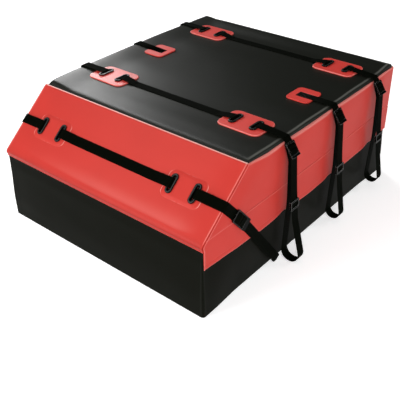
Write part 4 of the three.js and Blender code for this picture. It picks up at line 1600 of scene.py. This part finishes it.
tail_length = (nose_z - TAIL_END_HEIGHT) / math.cos(SLOPE)
tail_corners = [
    (TAIL_BACK - 0.7, HEM_FOLD - tail_length), (TAIL_BACK, -tail_length, HEM_BEND),
    (TAIL_FACE, -tail_length, HEM_BEND), *nose_buckle.gripped(tail=4),
]
print("tail:", round(tail_length), "mm long from the strap's line")

# %% Loops, short straps and tails
TAIL_HANG = 3.5

hang_about = nose_buckle.at(nose_buckle.windows[2][1], 0)[1]
tail_place = {}
for side, turn_side in SIDES.items():
    towards_rear = 1 if side == "right" else -1
    for row, loop in LOOPS.items():
        off_centre = OFF_CENTRE if side == "right" else 0
        place = turn_side @ shifted(0, towards_rear * ROWS[row] + off_centre, 0)
        strap(f"loop_{row}_{side}", loop_corners(*loop), place, f"loop_strap_{row}_{side}")
    place = turn_side @ shifted(0, towards_rear * ROWS["middle"], 0)
    strap(f"short_strap_{side}", [SHORT_STRAP_END, *top_ends[side]], place, f"top_strap_middle_{side}")
    hang = turned(-towards_rear * TAIL_HANG, "X")
    tail_place[side] = nose_frame @ turn_side @ shifted(0, 0, hang_about) @ hang @ shifted(0, 0, -hang_about)
    strap(f"tail_{side}", tail_corners, tail_place[side], f"nose_tail_{side}")
print("loops:", len(LOOPS) * len(SIDES), "tails:", len(tail_place))

# %% [markdown]
# ## Moulded pieces with soft edges
#
# The buckles, the sliders and the sewn middle patches already have their true shapes as solids, but every
# edge of a solid is knife sharp. A real moulding has an edge radius that catches a thin line of light. So
# each solid is copied, its loose triangles are merged into clean faces, and its sharp edges are rounded. The
# faces of the rounding carry "edge", which paints a highlight on them as a paler colour. The Weighted Normal
# modifier keeps the large faces looking flat.

# %% Rounded copies
SHARP = math.radians(30)
ROUNDING_STEPS = 3


def rounded_copy(name, node, width, material, body, finish_slot, painted_highlight):
    """A copy of a solid: doubles merged, flat triangles dissolved into faces, sharp edges rounded."""
    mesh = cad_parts[node].data.copy()
    mesh.name = name
    work = bmesh.new()
    work.from_mesh(mesh)
    bmesh.ops.remove_doubles(work, verts=work.verts, dist=1e-5)
    bmesh.ops.dissolve_limit(work, angle_limit=math.radians(1), verts=work.verts, edges=work.edges)
    bmesh.ops.recalc_face_normals(work, faces=work.faces)
    edge_of = work.faces.layers.float.new("edge")
    sharp = [edge for edge in work.edges if edge.is_manifold and edge.calc_face_angle() > SHARP]
    rounding = bmesh.ops.bevel(
        work, geom=sharp, offset=width * TO_METRES, segments=ROUNDING_STEPS, profile=0.5, affect="EDGES",
        clamp_overlap=True,
    )
    # A painted highlight on the faces of the rounding.
    for face in rounding["faces"]:
        face[edge_of] = painted_highlight
    work.to_mesh(mesh)
    work.free()
    only_material(mesh, material)
    smooth_faces(mesh)
    piece = new_object(name, mesh)
    piece.modifiers.new("flat_faces", "WEIGHTED_NORMAL")
    fit(piece, body, finish_slot, node)


print("edges over", round(math.degrees(SHARP)), "degrees are rounded")

# %% Buckles, sliders and middle patches


def moulding(name, node, body="bag"):
    """A moulded black piece: its edges are rounded by 0.9 mm and carry a painted highlight at half strength.
    """
    rounded_copy(name, node, 0.9, buckle_plastic, body, "buckle_plastic", 0.5)


rounded = 0
for side in SIDES:
    for row in ROWS:
        slider = f"strap_slider_{row}_{side}"
        moulding(f"ladder_lock_{row}_{side}", f"side_buckle_{row}_{side}")
        moulding(f"slider_{row}_{side}", slider, f"{slider}_body")
        rounded += 2
    moulding(f"ladder_lock_nose_{side}", f"nose_buckle_{side}")
    patch_node = f"middle_patch_{side}"
    rounded_copy(f"patch_middle_{side}", patch_node, 1.0, lit_patch_sheet, "bag", "red_pvc_cloth", 0.0)
    rounded += 2
print("pieces with rounded edges:", rounded)

# %% [markdown]
# ## Stitches
#
# The short middle straps are sewn to their patches with a box of stitches, and the nose tails have a folded
# hem with two rows. A stitch is a small bead of thread, rounder in the middle and sunk at both ends. All of
# the stitches on one strap are one mesh.

# %% Beads of thread
STITCH = 3.2
STITCH_GAP = 1.12
THREAD_ENDS = 0.12
THREAD_SWELL = 0.46
BEAD_SIDES = 6
BEAD_RINGS = 7


def stitch_row(start, end, matrix):
    """Beads from start to end: along each one its section swells as a half sine."""
    start, end = np.asarray(start, float), np.asarray(end, float)
    count = max(1, int(np.linalg.norm(end - start) / (STITCH * STITCH_GAP)))
    middles = start + (end - start) * ((np.arange(count) + 0.5) / count)[:, None]
    ahead = (end - start) / np.linalg.norm(end - start)
    beside = np.cross((0, 0, 1), ahead)
    share = np.linspace(0, 1, BEAD_RINGS)[:, None, None]
    angle = np.linspace(0, 2 * math.pi, BEAD_SIDES, endpoint=False)[None, :, None]
    size = THREAD_ENDS + THREAD_SWELL * np.sin(np.pi * share)
    ring = np.cos(angle) * beside + np.sin(angle) * np.array([0, 0, 1.0])
    bead = (share - 0.5) * STITCH * ahead + size * ring
    first = np.arange(BEAD_SIDES)
    shape = {"closed_v": True, "flip": True, "caps": [first, first[::-1] + (BEAD_RINGS - 1) * BEAD_SIDES]}
    return [{"points": put(bead + middle, matrix), **shape} for middle in middles]


def sewn(name, rows, matrix):
    """All the beads of several rows as one piece on the bag, and their number."""
    beads = [bead for start, end in rows for bead in stitch_row(start, end, matrix)]
    fit(make_piece(name, beads, dark_thread), "bag", "black_webbing")
    return len(beads)


print("a row of 30 mm has", len(stitch_row((0, 0, 0), (30, 0, 0), np.eye(4))), "stitches")

# %% Sewn boxes and hems
SEAM_HALF = 15
BOX_NEAR, BOX_FAR = 347, 391
BOX_LEVEL = BAG_HEIGHT + 4.85
HEM_LEVEL = TAIL_FACE + 0.8
HEM_ROWS = (7, 13)

box = [(BOX_NEAR, -SEAM_HALF, 0), (BOX_FAR, -SEAM_HALF, 0), (BOX_FAR, SEAM_HALF, 0), (BOX_NEAR, SEAM_HALF, 0)]
box_rows = [*zip(box, box[1:] + box[:1]), (box[0], box[2]), (box[1], box[3])]
hem_rows = [((tail_length - i, -SEAM_HALF, 0), (tail_length - i, SEAM_HALF, 0)) for i in HEM_ROWS]
stitches = 0
for side, turn_side in SIDES.items():
    stitches += sewn(f"box_stitch_{side}", box_rows, shifted(0, ROWS["middle"], BOX_LEVEL) @ turn_side)
    hem_place = tail_place[side] @ shifted(HEM_LEVEL, 0, 0) @ turned(90, "Y")
    stitches += sewn(f"hem_stitch_{side}", hem_rows, hem_place)
print("stitches:", stitches)

# %% [markdown]
# ## Floor, light and picture
#
# The bag stands on a white floor in a plain studio. The floor glows faintly, which lifts it towards the pure
# white of the picture without washing out the bag. It is one large disc, a hair below the ground, and only
# the ends of the two tails sink into it. A wide sun overhead gives even light. Two soft lights at the left
# front and one at the right front keep the black walls readable, and one at the right back lights the rear
# edge. Two lights at the left back are seen in the black panel as a grey sheen.

# %% Floor
FLOOR_RADIUS = 25.0
FLOOR_DROP = 0.0005

angles = np.linspace(0, 2 * math.pi, 96, endpoint=False)
rim = np.stack([FLOOR_RADIUS * np.cos(angles), FLOOR_RADIUS * np.sin(angles), 0 * angles - FLOOR_DROP], 1)
floor_mesh = bpy.data.meshes.new("floor")
floor_mesh.from_pydata(rim.tolist(), [], [list(range(len(angles)))])
floor = new_object("floor", floor_mesh)
paint = Finish(
    "floor_paint", Specular_IOR_Level=0.0, Roughness=0.9, Emission_Color=(1, 1, 1, 1), Emission_Strength=0.5,
)
floor_place = paint.node("TexCoord", output="Object")
paint.set(Base_Color=paint.mix(paint.noise(floor_place, 0.6), [0.9, 0.9, 0.9, 1], [0.92, 0.92, 0.92, 1]))
floor_mesh.materials.append(paint.material)
print("floor radius:", FLOOR_RADIUS, "m")

# %% Lights
FRONT_AIM = (0, 0, 0.3)
BACK_AIM = (0, -0.1, 0.4)


def soft_light(name, place, target, size, power):
    """A rectangle of light at a place, facing a target."""
    data = bpy.data.lights.new(name, "AREA")
    data.shape = "RECTANGLE"
    data.size, data.size_y = size
    data.energy = power
    lamp = new_object(name, data)
    lamp.location = place
    lamp.rotation_euler = (Vector(target) - Vector(place)).to_track_quat("-Z", "Y").to_euler()


def sky_light(name, elevation, azimuth, strength, spread):
    """A sun with a wide disc, which lights everything evenly from one side."""
    data = bpy.data.lights.new(name, "SUN")
    data.energy = strength
    data.angle = math.radians(spread)
    lamp = new_object(name, data)
    lamp.rotation_euler = (math.radians(90 - elevation), 0, math.radians(azimuth))


world = bpy.data.worlds.new("studio")
world.use_nodes = True
background = world.node_tree.nodes["Background"].inputs
background["Color"].default_value = (1, 1, 1, 1)
background["Strength"].default_value = 0.03
bpy.context.scene.world = world
sky_light("overhead", 82, 0, 0.4, 60)
soft_light("left_fill", (-2.2, -4.7, 2.5), FRONT_AIM, (3, 2.4), 185)
soft_light("far_left_fill", (-3.4, -2.0, 4.4), FRONT_AIM, (3, 2.4), 45)
soft_light("right_fill", (3.85, -3.5, 2.5), FRONT_AIM, (3, 2.4), 180)
soft_light("right_back", (4.0, 3.6, 3.4), (0.2, 0, 0.4), (1.6, 1.6), 50)
soft_light("left_back", (-4.65, 2.9, 2.85), BACK_AIM, (1.2, 2.6), 112)
soft_light("left_back_high", (-3.3, 3.0, 4.4), BACK_AIM, (1.1, 1.2), 27)
bpy.context.scene.view_settings.view_transform = "Standard"
print("lights:", len(bpy.data.lights))
